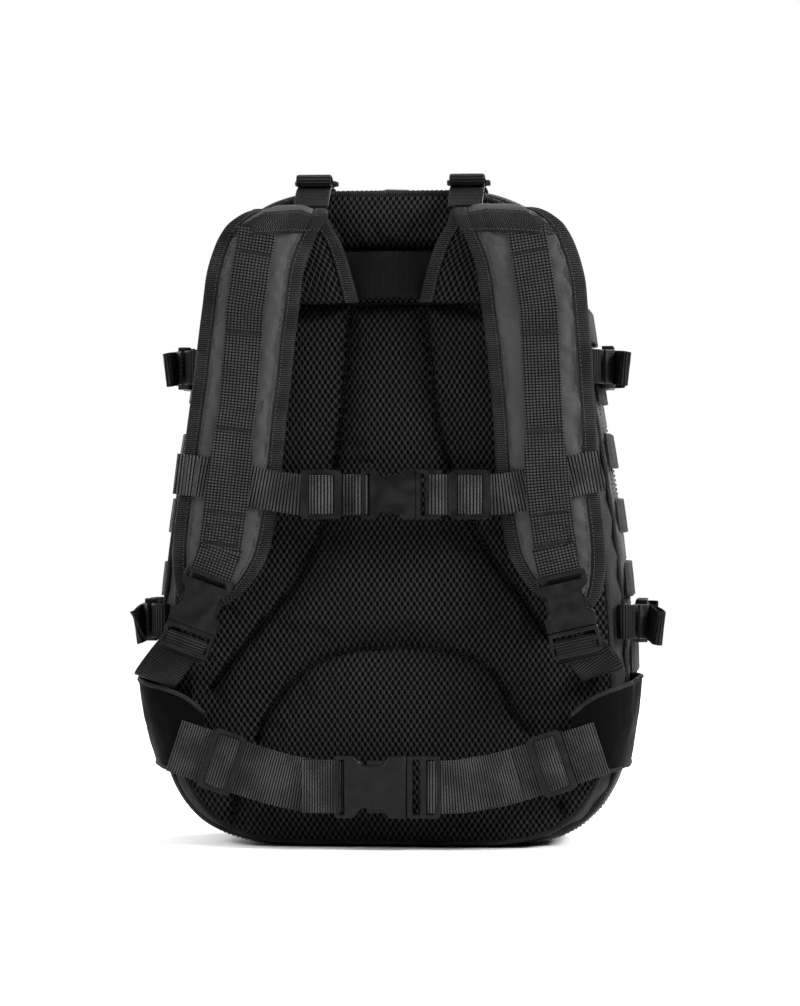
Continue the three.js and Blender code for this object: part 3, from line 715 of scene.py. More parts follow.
def to_segments(xz, line):
    """Distance in mm from each point to a polyline, and how far along it the foot lies."""
    best = np.full(len(xz), 1e9)
    foot = np.zeros(len(xz))
    run = 0.0
    for a, b in zip(line[:-1], line[1:]):
        a, b = np.array(a, float), np.array(b, float)
        d = b - a
        t = np.clip(((xz - a) @ d) / (d @ d), 0, 1)
        away = np.linalg.norm(xz - a - t[:, None] * d, axis=1)
        nearer = away < best
        best[nearer], foot[nearer] = away[nearer], (run + t * np.linalg.norm(d))[nearer]
        run += np.linalg.norm(d)
    return best, foot


def smooth_line(points):
    return spline([(x, 0, z) for x, z in points], 3.0)[:, [0, 2]]


def back_seams():
    """All the panel's seams: the channels, the arch, two level ones across it and two corner creases."""
    lines = [smooth_line(p) for p in (LEFT_CHANNEL, RIGHT_CHANNEL, ARCH)]
    for z in (SEAM_HIGH, SEAM_LOW):
        half = float(half_width(BACK, z)) - 2
        lines.append(np.column_stack([np.linspace(-half, half, 60), np.full(60, float(z))]))
    return lines + [smooth_line(p) for p in CREASES]


def quilt(xz, lines):
    """Height of padding at each point: full away from the seams and pinched down at them."""
    rise, soft = QUILT
    flat_floor, pucker, bite = 1.5, 0.9, 1.6
    height = np.full(len(xz), rise)
    for n, line in enumerate(lines):
        away, foot = to_segments(xz, line)
        height = np.minimum(height, rise * (1 - np.exp(-np.maximum(away - flat_floor, 0) / soft)))
        gather = np.array([noise.noise(Vector((f / 7, n * 3.7, 0.5))) for f in foot])
        height = height + pucker * gather * np.exp(-away / 9) * np.minimum(away / 3, 1)
        height = height - bite * np.exp(-((away / 1.8) ** 2))
    return height


def back_panel():
    """The quilted mesh panel, with rows closer together at its ends and columns closer at its sides."""
    low, high = BACK[0], BACK[1]
    rows, cols = 260, 181
    share = (1 - np.cos(np.linspace(0, math.pi, rows))) / 2
    z = low + (high - low) * (0.75 * np.linspace(0, 1, rows) + 0.25 * share)
    t = np.linspace(-1, 1, cols)
    t = np.sign(t) * (1 - (1 - np.abs(t)) ** 1.15)
    half = half_width(BACK, z)
    x = t[None] * half[:, None]
    zz = np.broadcast_to(z[:, None], x.shape)
    flat = np.stack([x.ravel(), zz.ravel()], 1)
    edge, _ = to_segments(flat, closing(outline(BACK)))
    lines = back_seams()
    rise = quilt(flat, lines) * np.clip(edge / 16, 0, 1) ** 0.55
    spot = np.column_stack([flat, flat[:, 1] * 0])
    for amount, size, seed in ((1.0, 42, 2), (0.35, 9, 5)):
        rise += amount * ripple(spot, size, seed) * np.clip(edge / 20, 0, 1)
    y = PANEL_Y - np.clip(rise, -1.5, QUILT[0])
    front = np.stack([flat[:, 0], y, flat[:, 1]], 1).reshape(*x.shape, 3)
    near = np.min([to_segments(flat, line)[0] for line in lines], axis=0)
    wide = np.flatnonzero(half > 60)  # narrower rows are too crowded to simulate
    wide = slice(wide[0], wide[-1] + 1)
    held = ((near < 2.4) | (edge < 5)).reshape(x.shape)[wide]
    held[[0, -1]] = True
    front[wide] = settle(front[wide], held, -Y_AXIS, pressure=5.0, grow=0.012, cap=5.0)
    front[..., 1] = np.maximum(front[..., 1], -17.5)
    form = Form()
    uv = np.stack([x, zz], 2)
    form.grid(front, uv)
    back = front.copy()
    back[..., 1] = 0.0
    back[..., 0] *= 0.985
    form.grid(back, uv)
    front_rim, back_rim = border(front), border(back)
    middle = (front_rim + back_rim) / 2
    hub, bulge = (0, -3.5, 230.0), 1.5
    middle += unit((middle - hub) * [1, 0, 1]) * bulge
    walls = np.stack([front_rim, middle, back_rim])
    loft(form, walls)
    made = piece(form, "back_padding", "pack", "mesh", MESH, replaces="back_panel", welded=True)

    # Seam stitches, with near-black tubes in the valleys as painted shade.
    thread = Form()
    for line in lines:
        seam_shade_tube(thread, line)
    piece(thread, "back_seam_stitches_and_shade", "pack", "webbing", DARK_THREAD, SEAM_SHADE)

    piping = Form()
    for y, by, radius in ((-6.0, -0.8, 2.3), (-2.6, -1.6, 1.6)):
        tube(piping, closed_path(BACK, y, by), radius, closed=True)
    piece(piping, "back_panel_piping", "pack", "webbing", BINDING)


# ------------------------------------------------------------------ shoulder straps
# (x, y, z, width) down the middle of the right strap.
WING_PAD = [
    (54.5, -20.5, 391, 64), (57.5, -24, 403, 64), (62, -24.2, 419, 64), (67.5, -25.2, 434, 64),
    (72, -27.4, 445, 60), (72.5, -29.9, 451, 56),
]
STRAP = [
    (72.5, -34.2, 453, 55), (74.5, -38.8, 452, 58), (78, -43, 449.4, 64), (83, -45.8, 444.6, 69),
    (88.3, -47, 436, 71), (93.5, -47, 424, 71), (97.3, -47, 411, 71), (101, -41.5, 385, 71),
    (104.5, -34.5, 358, 70.5), (106.7, -30, 335, 70.5), (109.3, -28, 312, 70.5), (112.8, -28, 270, 71),
    (116, -28, 240, 71), (118.5, -28, 222, 70), (121, -28, 207, 66), (125, -28, 192, 56), (129, -28, 180, 42),
    (132, -28, 172, 24),
]
SKEW = 4.5  # how far to the right both straps lie at the top
LOPSIDED = 3.2  # how much wider the right strap looks than the left, as it turns to the front
BOUND = 8.6  # how far the edge binding reaches in
FOAM = 12.0  # the pad's thickness
ROUNDING = 2.6  # radius of its edges
SPLIT_Z = 441  # where the fold piece hands over to the pad


def strap_path(side):
    """Middle line (x, y, z, width) of a whole strap and its outer-face directions."""
    p = spline(WING_PAD + STRAP, 2.2)
    p[:, 3] = np.maximum(p[:, 3], 14)
    past_top = np.clip((np.arange(len(p)) - np.argmax(p[:, 2]) + 3) / 4, 0, 1)
    over = past_top * np.clip((p[:, 2] - 260) / 140, 0, 1)
    p[:, 0] += side * SKEW * over
    p[:, 3] += side * LOPSIDED * over
    way = unit(np.gradient(p[:, :3], axis=0))
    face = unit(np.cross(way, X_AXIS))
    p[:, 0] *= side
    face[:, 0] *= side
    return p, face


def round_edge(edge):
    """A quarter circle's height, from 0 at an edge to 1 at ROUNDING mm in."""
    return np.sqrt(np.clip(1 - (1 - np.clip(edge / ROUNDING, 0, 1)) ** 2, 0, 1))


def foam_half(edge):
    """Half thickness of the pad, `edge` mm in from its edge."""
    at_binding = 0.46  # its share of the full thickness there
    half = 0.5 * FOAM * (at_binding + (1 - at_binding) * ease(np.clip((edge - 7.5) / 11, 0, 1)))
    half = half - 0.9 * np.exp(-(((edge - BOUND - 0.6) / 1.2) ** 2))
    return half * np.where(edge < ROUNDING, round_edge(edge), 1.0)


def pad(form, p, face, side, seed):
    """The foam strap: nylon on the outer face (look 0), mesh on the inner (look 1)."""
    u = np.concatenate([np.linspace(-1, -0.66, 13), np.linspace(-0.6, 0.6, 17), np.linspace(0.66, 1, 13)])
    wide = p[:, 3:4] / 2
    edge = (1 - np.abs(u))[None] * wide
    half = foam_half(edge)
    across = side * (u[None] * wide)[..., None] * X_AXIS
    run = along(p[:, :3])
    spot = np.stack([u * wide, np.broadcast_to(run[:, None], edge.shape), edge * 0], 2)
    soft = np.clip((edge - 10) / 8, 0, 1)
    bumps = (0.55 * ripple(spot, 26, seed) + 0.3 * ripple(spot, 9, seed + 4)) * soft
    middle = p[:, None, :3] + across
    outer = middle + face[:, None] * (half + bumps)[..., None]
    under_webbing = np.abs(u)[None] * wide < 15
    ends = np.zeros((len(p), 1), bool)
    ends[:2] = ends[-2:] = True
    held = (edge < BOUND + 1.5) | under_webbing | ends
    outer = settle(outer, held, face[:, None], pressure=6.0, grow=0.03, cap=2.5, skip=(1, 1))
    inner = middle - face[:, None] * half[..., None]
    uv = spot[..., :2]
    form.grid(outer, uv, 0)
    form.grid(inner, uv, 1)
    for row in (0, len(p) - 1):
        cap = np.stack([outer[row], inner[row]])
        form.grid(cap, np.stack([uv[row], uv[row]]), 0)


def edge_binding(form, p, face, side, hand):
    """Grosgrain folded over one edge of the pad; hand is -1 for its inner edge and 1 for its outer."""
    reach = np.concatenate([np.linspace(BOUND, 2.2, 6), [1.4, 0.7, 0.15]])
    edge = np.broadcast_to(reach[None], (len(p), len(reach)))
    wide = p[:, 3:4] / 2
    half = np.maximum(foam_half(edge), 2.5 * round_edge(edge))
    half = np.where(edge > BOUND - 2.5, 2.65, half)

    def line(lift, keep):
        u = hand * (wide - keep + lift * (reach[None] < 2.2))
        x = side * u[..., None] * X_AXIS
        off = face[:, None] * (half + lift)[..., None]
        up, down = p[:, None, :3] + x + off, p[:, None, :3] + x - off
        return np.concatenate([up, down[:, ::-1]], 1)

    outer, inner = line(0.75, edge), line(-0.25, edge + 0.4)
    rings = np.concatenate([outer, inner[:, ::-1]], 1)
    run = along(p[:, :3])
    girth = along(outer[len(p) // 2])
    uv = np.stack(np.meshgrid(np.concatenate([girth, girth[::-1]]), run), 2)
    form.grid(rings, uv, wrap=True, caps=True)


def edge_stitches(form, p, face, side, hand, inset, lift):
    """A seam along one edge of a strap."""
    u = hand * (p[:, 3] / 2 - inset)
    path = p[:, :3] + side * u[:, None] * X_AXIS + face * lift
    stitch_line(form, path, face, 3.1)


SIDES = (("left", -1), ("right", 1))
# Each lower strap: which way it leans, its buckle's mouth (x, z) and its lean in degrees.
SHOULDER = {"left": (-1, (-139, 159), 20), "right": (1, (131.5, 158.5), 13)}
BUCKLE_Y = -39.6


def strap_forms(p, face, side, seed, seams):
    """Pad, binding and stitches of a length of strap; a seam is (inset, lift, 1 outside or -1 inside)."""
    foam, edges, stitches = Form(), Form(), Form()
    pad(foam, p, face, side, seed)
    for hand in (-1, 1):
        edge_binding(edges, p, face, side, hand)
        for inset, lift, out in seams:
            edge_stitches(stitches, p, out * face, side, hand, inset, lift)
    return foam, edges, stitches


def shoulder_strap(name, side):
    """The fold over the strap's sewn top, then the strap itself with all that it carries."""
    p, face = strap_path(side)
    split = int(np.argmax((p[:, 2] < SPLIT_Z) & (p[:, 1] < -40)))
    body = f"{name}_strap"
    near = (BOUND - 1.2, 3.55)
    seams = ((*near, 1), (*near, -1))
    fold, edges, stitches = strap_forms(p[: split + 1], face[: split + 1], side, 3 + side, seams)
    bends = fold_point(-29), fold_point(-41)
    pad_name, wing = f"strap_fold_{name}", f"strap_wing_{name}"
    made = piece(fold, pad_name, body, "nylon", FACE, MESH, replaces=wing, welded=True, bends=bends)
    piece(edges, f"strap_fold_binding_{name}", body, "webbing", BINDING, bends=bends)
    piece(stitches, f"strap_fold_stitches_{name}", body, "webbing", THREAD, bends=bends)

    seams = ((*near, 1), (BOUND + 2.4, 4.0, 1))
    main, edges, stitches = strap_forms(p[split:], face[split:], side, 9 + side, seams)
    strap = f"shoulder_strap_{name}"
    made = piece(main, f"strap_pad_{name}", body, "nylon", FACE, MESH, replaces=strap, welded=True)
    piece(edges, f"strap_binding_{name}", body, "webbing", BINDING)
    piece(stitches, f"strap_stitches_{name}", body, "webbing", THREAD)
    top_band(name, side, p, face)
    shoulder_webbing(name, side, p, face)


def fold_point(y):
    """A point of the fold, in metres, at a drawing depth of y mm."""
    return (0, y * MM + WALL_Y, 450 * MM)


def top_band(name, side, p, face):
    """Grosgrain sewn across the strap where the fold piece and the pad meet."""
    rows = np.flatnonzero((p[:, 2] < 448.6) & (p[:, 2] > 436.0) & (p[:, 1] < -42))
    u = np.linspace(-1, 1, 45)
    rings = []
    for n, k in enumerate(rows):
        wide = p[k, 3] / 2 + 0.9
        over = np.clip((0.52 - np.abs(u - side * 0.06)) / 0.1, 0, 1)
        lift = (1.3 if 0 < n < len(rows) - 1 else 0.5) + 1.9 * ease(over)
        half = np.maximum(foam_half((1 - np.abs(u)) * wide), 2.0)
        half = half + lift * np.clip((1 - np.abs(u)) * 6, 0.35, 1)
        flat = p[k, :3] + side * (u * wide)[:, None] * X_AXIS
        flat[:, 2] -= 2.2 * u + 0.8 * u * u
        rings.append(np.vstack([flat + face[k] * half[:, None], (flat - face[k] * 2.0)[::-1]]))
    rings = np.array(rings)
    form = Form()
    uv = np.stack(np.meshgrid(along(rings[0]), along(rings[:, 22])), 2)[..., ::-1]
    form.grid(rings, uv, wrap=True, caps=True)
    for k in (1, len(rows) - 2):
        stitch_line(form, rings[k, 3 : len(u) - 3] + face[rows[k]] * 0.2, face[rows[k]], 3.0, 1)
    piece(form, f"strap_top_band_{name}", f"{name}_strap", "webbing", BINDING, THREAD)


SOCKET, PLUG = 1.32, 0.64  # how far a buckle's halves reach, as shares of its webbing's width


def buckle_line(name):
    """Where a strap's buckle meets, and the direction in which its lower webbing leaves."""
    sign, mouth, tilt = SHOULDER[name]
    down = np.array([sign * math.sin(math.radians(tilt)), 0, -math.cos(math.radians(tilt))])
    return np.array([mouth[0], BUCKLE_Y, mouth[1]]), down


def shoulder_webbing(name, side, p, face):
    """Webbing down the strap: sewn flat at bar tacks, and arched over the sternum strap."""
    mouth, down = buckle_line(name)
    socket = SOCKET * 30
    first = int(np.argmax((p[:, 2] < 440.5) & (p[:, 1] < -44)))
    low_enough = (p[:, 2] < 205) & (p[:, 1] < -27) & (np.arange(len(p)) > first)
    rows = np.arange(first, int(np.argmax(low_enough)))
    z = p[rows, 2]
    tacks = np.array([429, 368, 299, 245])
    near = np.min(np.abs(z[:, None] - tacks[None]), axis=1)
    lift = 0.6 + 1.3 * np.clip(near / 14, 0, 1) ** 1.5
    lift = np.maximum(lift, 3.8 * np.clip((z - 203) / 8, 0, 1) * np.clip((318 - z) / 8, 0, 1))
    path = p[rows, :3] + face[rows] * (FOAM / 2 + lift + 0.2)[:, None]
    slack = np.clip((z - 300) / 30, 0, 1)
    straight = side * np.interp(z, [286, 387, 440], [111, 104, 95])
    straight = straight + SKEW * np.clip((z - 260) / 140, 0, 1)
    path[:, 0] = path[:, 0] * (1 - slack) + straight * slack
    wide = 27.2 + 2.8 * np.clip((300 - z) / 25, 0, 1) + 1.6 * np.exp(-(((z - 258) / 16) ** 4))
    path = np.column_stack([path, wide])[::3]
    end = mouth - down * (socket - 2.4)
    tail = [end - down * 22 + [0, 1.0, 0], end - down * 8 + [0, 0.3, 0], end]
    path = np.vstack([path, np.column_stack([tail, [30, 30, 30]])])
    form = Form()
    points, across, out = ribbon(form, path, 30, side * X_AXIS, step=2.0)
    out = face_out(out)
    body, stands_for = f"{name}_strap", f"shoulder_webbing_{name}"
    piece(form, f"strap_webbing_{name}", body, "webbing", PLAID, replaces=stands_for)

    tackwork = Form()
    for z_tack in (424, 368, 299, 240, 218):
        k = nearest(points, 2, z_tack)
        bartack(tackwork, points[k] + out[k] * (WEB / 2 + 0.12), across[k], out[k], 26)
    high, low = ((-11.5, 232), (11.5, 232)), ((11.5, 206), (-11.5, 206))
    box_and_cross = [*high, *low, high[0], low[0], high[1], low[1]]
    for a, b in zip(box_and_cross[:-1], box_and_cross[1:]):
        run = np.linspace(0, 1, 14)[:, None]
        flat = np.array(a) * (1 - run) + np.array(b) * run
        k = [nearest(points, 2, z) for z in flat[:, 1]]
        line = points[k] + across[k] * flat[:, :1] + out[k] * (WEB / 2 + 0.15)
        line[:, 2] = flat[:, 1]
        stitch_line(tackwork, line, out[k[0]], 2.6)
    piece(tackwork, f"strap_tacks_{name}", body, "webbing", DARK_THREAD)


def face_out(v):
    """The same direction, turned to look away from the bag's back."""
    v = np.asarray(v, float)
    return v * np.where(v[..., 1:2] > 0, -1, 1)


# ------------------------------------------------------------------ bag shells
def wrinkled(rings, amount, size, seed, ease):
    """Pushes lofted cloth in and out by up to `amount` mm, fading to nothing at both ends."""
    fade = np.sin(np.linspace(0, math.pi, len(rings))) ** ease
    middle = rings.mean(1, keepdims=True)
    out = unit((rings - middle) * [1, 0, 1])
    push = ripple(rings * [1, 0.6, 1], size, seed)
    push = push + 0.5 * ripple(rings * [1, 1.6, 1], size / 2.7, seed + 3)
    return rings + out * (amount * push * fade[:, None])[..., None]


def shell(name, stations, replaced, body, amount, seed):
    """An open cloth cup: outer skin through (spec, inset, y) stations, lining inside it."""
    wall = 2.6
    form = Form()
    dense = densify(np.array([ring(spec, y, by) for spec, by, y in stations]), 3.2)
    dense = wrinkled(dense, amount, 55, seed, 0.5)
    rank = np.arange(len(dense))[:, None]
    held = (rank < 2) | (rank > len(dense) - 3) | sewn(dense, stations)
    dense = settle(dense, held, outward(dense), wrap=True, pressure=2.5, grow=0.022, cap=2.2, skip=(1, 3))
    loft(form, dense)
    inner = (dense - outward(dense) * wall)[::-4][::-1]
    inner[:, :, 1] = np.maximum(inner[:, :, 1], dense[0, 0, 1] + wall)
    loft(form, inner, 1)
    loft(form, np.stack([dense[-1], inner[-1]]), 1)
    for start, look in ((dense[0], 0), (inner[0], 1)):
        level = np.array([0, np.median(start[:, 1]), MIDDLE_Z])
        fan = np.array([start * (1 - s) + level * s for s in (0, 0.02, 0.05, 0.1, 0.3, 0.7, 0.985)])
        fan[2:, :, 1] = level[1]
        fan_cap(form, fan, look)
    piece(form, name, body, "nylon", NYLON, LINING, replaces=replaced, welded=True)


def sewn(rings, stations):
    """Where piping, the base seam or webbing rows are stitched to a shell."""
    y, z = rings[..., 1], rings[..., 2]
    rows = np.min(np.abs(z[..., None] - np.array(LADDER_ROWS)), axis=-1) < 9
    on_side = rows & (y > 18) & (y < 119) & (stations[0][0] is PACK)
    trims = ((9, 2), (114.5, 2), (118.5, 2), (127, 7), (159, 6.5))
    at_trim = np.any([np.abs(y - at) < reach for at, reach in trims], axis=0)
    return on_side | at_trim | (z < 4)


def outward(rings):
    """Unit normals of a stack of closed rings, looking away from their middle."""
    round_way = np.roll(rings, -1, axis=1) - np.roll(rings, 1, axis=1)
    normal = unit(np.cross(np.gradient(rings, axis=0), round_way))
    middle = rings.mean((0, 1))
    half = len(rings) // 2
    inward = np.sum(normal[half] * (rings[half] - middle)) < 0
    return -normal if inward else normal


def densify(rings, step):
    """More rings between the given ones, about `step` mm apart."""
    rows = [rings[0]]
    for a, b in zip(rings[:-1], rings[1:]):
        n = max(1, int(round(np.linalg.norm(b - a, axis=1).mean() / step)))
        rows += [a * (1 - k / n) + b * (k / n) for k in range(1, n + 1)]
    return np.array(rows)


def closed_path(spec, y, by):
    return closing(ring(spec, y, by))


def main_bag():
    """The big compartment with its piping, seams and zip."""
    stations = [
        (PACK, 10, 0.6), (PACK, 5.5, 3.5), (PACK, 3, 7), (PACK, 0.8, 12), (PACK, 0, 18), (PACK, 0, 60),
        (PACK, 0.4, 112), (PACK, 3.2, 117.6), (FRONT, -3.5, 119.3), (FRONT, 0.6, 120.0),
    ]
    shell("main_bag_shell", stations, "main_shell", "pack", 1.3, 4)
    trim = Form()
    for y, by, radius in ((9, 1.95, 1.9), (114.5, 1.2, 1.8)):
        path = closed_path(PACK, y, by)
        path[:, 2] = np.maximum(path[:, 2], radius)
        tube(trim, path, radius, closed=True)
    piece(trim, "main_bag_piping", "pack", "webbing", BINDING)
    seams = Form()
    for y in (19, 106, 117.5):
        path = closed_path(PACK, y, -1.2)
        path[:, 2] = np.maximum(path[:, 2], 0.4)
        out = unit((path - [0, y, MIDDLE_Z]) * [1, 0, 1])
        stitch_line(seams, path, out, 3.4)
    piece(seams, "main_bag_stitches", "pack", "webbing", DARK_THREAD)
    zip_track("main_zip", FRONT, 126.8, -0.2)


TAPE_WIDE = 6.4


def zip_track(name, spec, y, by):
    """A coil between two tapes round a compartment's side, open along the base."""
    base = spec[0] + 34
    path = np.roll(ring(spec, y, by), HALF_RING, axis=0)
    path = path[path[:, 2] > base]
    start = int(np.argmax(np.linalg.norm(np.diff(path, axis=0), axis=1)))
    if np.linalg.norm(path[start + 1] - path[start]) > 20:
        path = np.roll(path, -start - 1, axis=0)
    out = unit((path - path.mean(0)) * [1, 0, 1])
    form = Form()
    for off in (-4.6, 4.6):
        line = path + [0, off, 0] + out * 0.5
        sweep(form, line, Y_AXIS, TAPE_WIDE, 0.9, np.full(len(line), TAPE_WIDE), look=1)
        seam = line + out * 0.6 + [0, off * 0.3, 0]
        stitch_line(form, seam, out, 3.2, 2)
    teeth = spline(path + out * 0.8, 1.25)
    ways = unit((teeth - path.mean(0)) * [1, 0, 1])
    tooth = capsule(3.4, 0.62, 5)
    lean = np.where(np.arange(len(teeth)) % 2, 0.7, -0.7)[:, None]
    form.stamp(*tooth, teeth + lean * Y_AXIS, Y_AXIS, np.cross(ways, Y_AXIS), ways)
    piece(form, name, "front_section", "zip_metal", COIL, TAPE, DARK_THREAD)


def front_section():
    """The front compartment with its piping, zip, panel and pouches."""
    stations = [
        (FRONT, 0.6, 120.6), (FRONT, 0, 122), (FRONT, 0, 132), (FRONT_FACE, 0.4, 164),
        (FRONT_FACE, 0.8, 165.3),
    ]
    shell("front_section_bag", stations, "front_section_shell", "front_section", 1.0, 8)
    trim = Form()
    tube(trim, closed_path(FRONT, 133.5, 0.2), 1.6, closed=True)
    tube(trim, closed_path(FRONT_FACE, 163.4, -1.0), 1.7, closed=True)
    piece(trim, "front_section_piping", "front_section", "webbing", BINDING)
    zip_track("front_zip", FRONT_FACE, 158.6, -2.4)
    panel()
    for name, spec in (("lower", LOWER_POUCH), ("upper", UPPER_POUCH)):
        pouch(name, *spec)


# low, high, half width, depth, corner radius
LOWER_POUCH = (100, 255, 118, 27, 26)
UPPER_POUCH = (275, 400, 88, 22, 22)
POUCH_Y = 169.2
LID_ROWS = {"lower": (128, 166, 204, 236), "upper": (304,)}
LID_MARGIN = {"lower": 20, "upper": 14}  # from the end of a row to the lid's side
LOOP_Z = 352  # middle of the upper lid's loop patch
CROWN = 5.5  # how far a lid bulges


def hub_fan(start, hub, share):
    """Rings that shrink from one towards a middle point (x, z) at the first one's depth."""
    middle = np.array([hub[0], start[0, 1], hub[1]])
    return np.array([start * (1 - s) + middle * s for s in share])


def panel():
    """The front panel: stiffened cloth that the pouches are sewn to, lined behind."""
    form = Form()
    rows = np.array([ring(FRONT_FACE, y, by) for y, by in ((165.9, 0.6), (167.3, -0.3), (168.8, 0.6))])
    loft(form, rows)
    fan_rings = 24
    rank = np.arange(fan_rings)[:, None]
    share = np.linspace(0, 0.97, fan_rings)
    fan_cap(form, hub_fan(rows[0], (0, 257), share), 1)
    fan = hub_fan(rows[-1], (0, 257), share)
    fan[..., 1] += 0.9 * np.sin(np.linspace(0, math.pi, fan_rings))[:, None]
    fan[..., 1] += 0.5 * ripple(fan, 35, 6) * np.clip(np.linspace(0, 4, fan_rings), 0, 1)[:, None]
    held = (rank < 3) | (rank > fan_rings - 3)
    for low, high, half, _, _ in (LOWER_POUCH, UPPER_POUCH):
        z = fan[..., 2]
        held = held | ((np.abs(fan[..., 0]) < half + 2) & (z > low - 2) & (z < high + 2))
    fan = settle(fan, held, Y_AXIS, wrap=True, pressure=2.0, grow=0.015, cap=2.5, skip=(1, 3))
    fan_cap(form, fan, 0)
    name = "front_panel"
    piece(form, "front_panel_cloth", name, "nylon", NYLON, LINING, replaces=name, welded=True)
    seam = Form()
    for by in (6, 9):
        stitch_line(seam, closed_path(FRONT_FACE, 169.4, by), Y_AXIS, 3.2)
    piece(seam, "front_panel_stitches", "front_panel", "webbing", DARK_THREAD)


def pouch_ring(spec, y, by):
    """A rounded rectangle (x, y, z), evenly dense along its sides; `by` insets it."""
    low, high, half, _, corner = spec
    low, high, half, corner = low + by, high - by, half - by, max(corner - by, 2)
    x, z_low, z_high = half - corner, low + corner, high - corner
    points = []
    for cx, cz, start in ((x, z_low, -90), (x, z_high, 0), (-x, z_high, 90), (-x, z_low, 180)):
        for k in range(13):
            a = math.radians(start + 90 * k / 12)
            points.append((cx + corner * math.cos(a), cz + corner * math.sin(a)))
    flat = evenly(np.array(points + points[:1]), 192, endpoint=False)
    return np.stack([flat[:, 0], np.full(len(flat), float(y)), flat[:, 1]], 1)


def pouch(name, *spec):
    """A box pouch, lined, with its lid."""
    mouth = POUCH_Y + spec[3]
    form = Form()
    stations = ((POUCH_Y + 0.2, 0.5), (POUCH_Y + 3, 0), (mouth - 2, 0), (mouth - 0.2, 0.8))
    outer = densify(np.array([pouch_ring(spec, y, by) for y, by in stations]), 2.6)
    outer = wrinkled(outer, 0.8, 30, 11 + len(name), 0.6)
    rank = np.arange(len(outer))[:, None]
    held = np.broadcast_to((rank < 1) | (rank > len(outer) - 2), outer.shape[:2])
    outer = settle(outer, held, outward(outer), wrap=True, pressure=3.0, grow=0.02, cap=2.5, skip=(1, 1))
    loft(form, outer)
    inner = outer[::2] - unit((outer[::2] - outer[::2].mean(1, keepdims=True)) * [1, 0, 1]) * 2.0
    inner[..., 1] = np.maximum(inner[..., 1], POUCH_Y + 2)
    loft(form, inner, 1)
    loft(form, np.stack([outer[-1], inner[-1]]), 1)
    for start, look in ((outer[0], 0), (inner[0], 1)):
        flat_face(form, start, look)
    stands_for = f"{name}_pouch_shell"
    piece(form, f"{name}_pouch_bag", "front_panel", "nylon", NYLON, LINING, replaces=stands_for, welded=True)
    lid(name, f"{name}_pouch_lid", spec, mouth + 0.5)


def lid(name, body, spec, lid_y):
    """The pouch's crowned lid, lined, with piping round it and webbing rows sewn on."""
    low, high, half, _, _ = spec
    form = Form()
    edges = ((lid_y, 1.0), (lid_y + 1.3, -0.4), (lid_y + 2.6, 0.8))
    rows = np.array([pouch_ring(spec, y, by) for y, by in edges])
    loft(form, rows)
    hub = (0, (low + high) / 2)
    share = np.linspace(0, 0.96, 26)
    fan_cap(form, hub_fan(rows[0], hub, share), 1)
    fan = hub_fan(rows[-1], hub, share)
    fan[..., 1] += (CROWN * (1 - (1 - share) ** 2.6))[:, None]
    fan[..., 1] += 0.8 * ripple(fan, 26, 3 + len(name)) * np.clip(share * 8, 0, 1)[:, None]
    near = np.min(np.abs(fan[..., 2:] - np.array(LID_ROWS[name])), axis=-1)
    held = (near < 11) & (np.abs(fan[..., 0]) < half - LID_MARGIN[name])
    if name == "upper":
        held |= (np.abs(fan[..., 2] - LOOP_Z) < 20) & (np.abs(fan[..., 0]) < 60)
    held = held | (share[:, None] < 0.03) | (share[:, None] > 0.9)
    fan = settle(fan, held, Y_AXIS, wrap=True, pressure=4.0, grow=0.02, cap=4.0, skip=(1, 2))
    fan_cap(form, fan, 0)
    piece(form, f"{name}_pouch_lid_cloth", body, "nylon", NYLON, LINING, replaces=body, welded=True)

    trim = Form()
    tube(trim, closing(pouch_ring(spec, lid_y + 1.4, -0.9)), 1.5, closed=True)
    piece(trim, f"{name}_pouch_piping", body, "webbing", BINDING)
    molle_rows(name, body, spec, lid_y + 2.6)


def lid_height(spec, x, z):
    """How far the crowned lid stands out at a point."""
    low, high, half, _, _ = spec
    zc, zh = (low + high) / 2, (high - low) / 2
    reach = np.maximum(np.abs(x) / half, np.abs(z - zc) / zh)
    return CROWN * (1 - np.clip(reach, 0, 1) ** 2.6)


def loop_patch(body, spec, face_y, tacks):
    """The upper lid's patch of loop fabric, with its corners drawn in and a seam round it."""
    half, height = 62, 42
    xx, zz = np.meshgrid(np.linspace(-half, half, 50), np.linspace(-height / 2, height / 2, 18))
    corner = np.clip((np.abs(xx) - half + 8) / 8, 0, 1) ** 2 * 5
    zz = LOOP_Z + zz * (1 - corner / height)
    front = np.stack([xx, face_y + lid_height(spec, xx, zz) + 1.6, zz], 2)
    form = Form()
    rim = two_sided(form, front, front - [0, 2.2, 0], np.stack([xx, zz], 2))
    piece(form, "upper_loop_panel", body, "nylon", LOOP, welded=True)
    stitch_line(tacks, closing(rim[0]) + [0, 0.3, 0], Y_AXIS, 2.8)


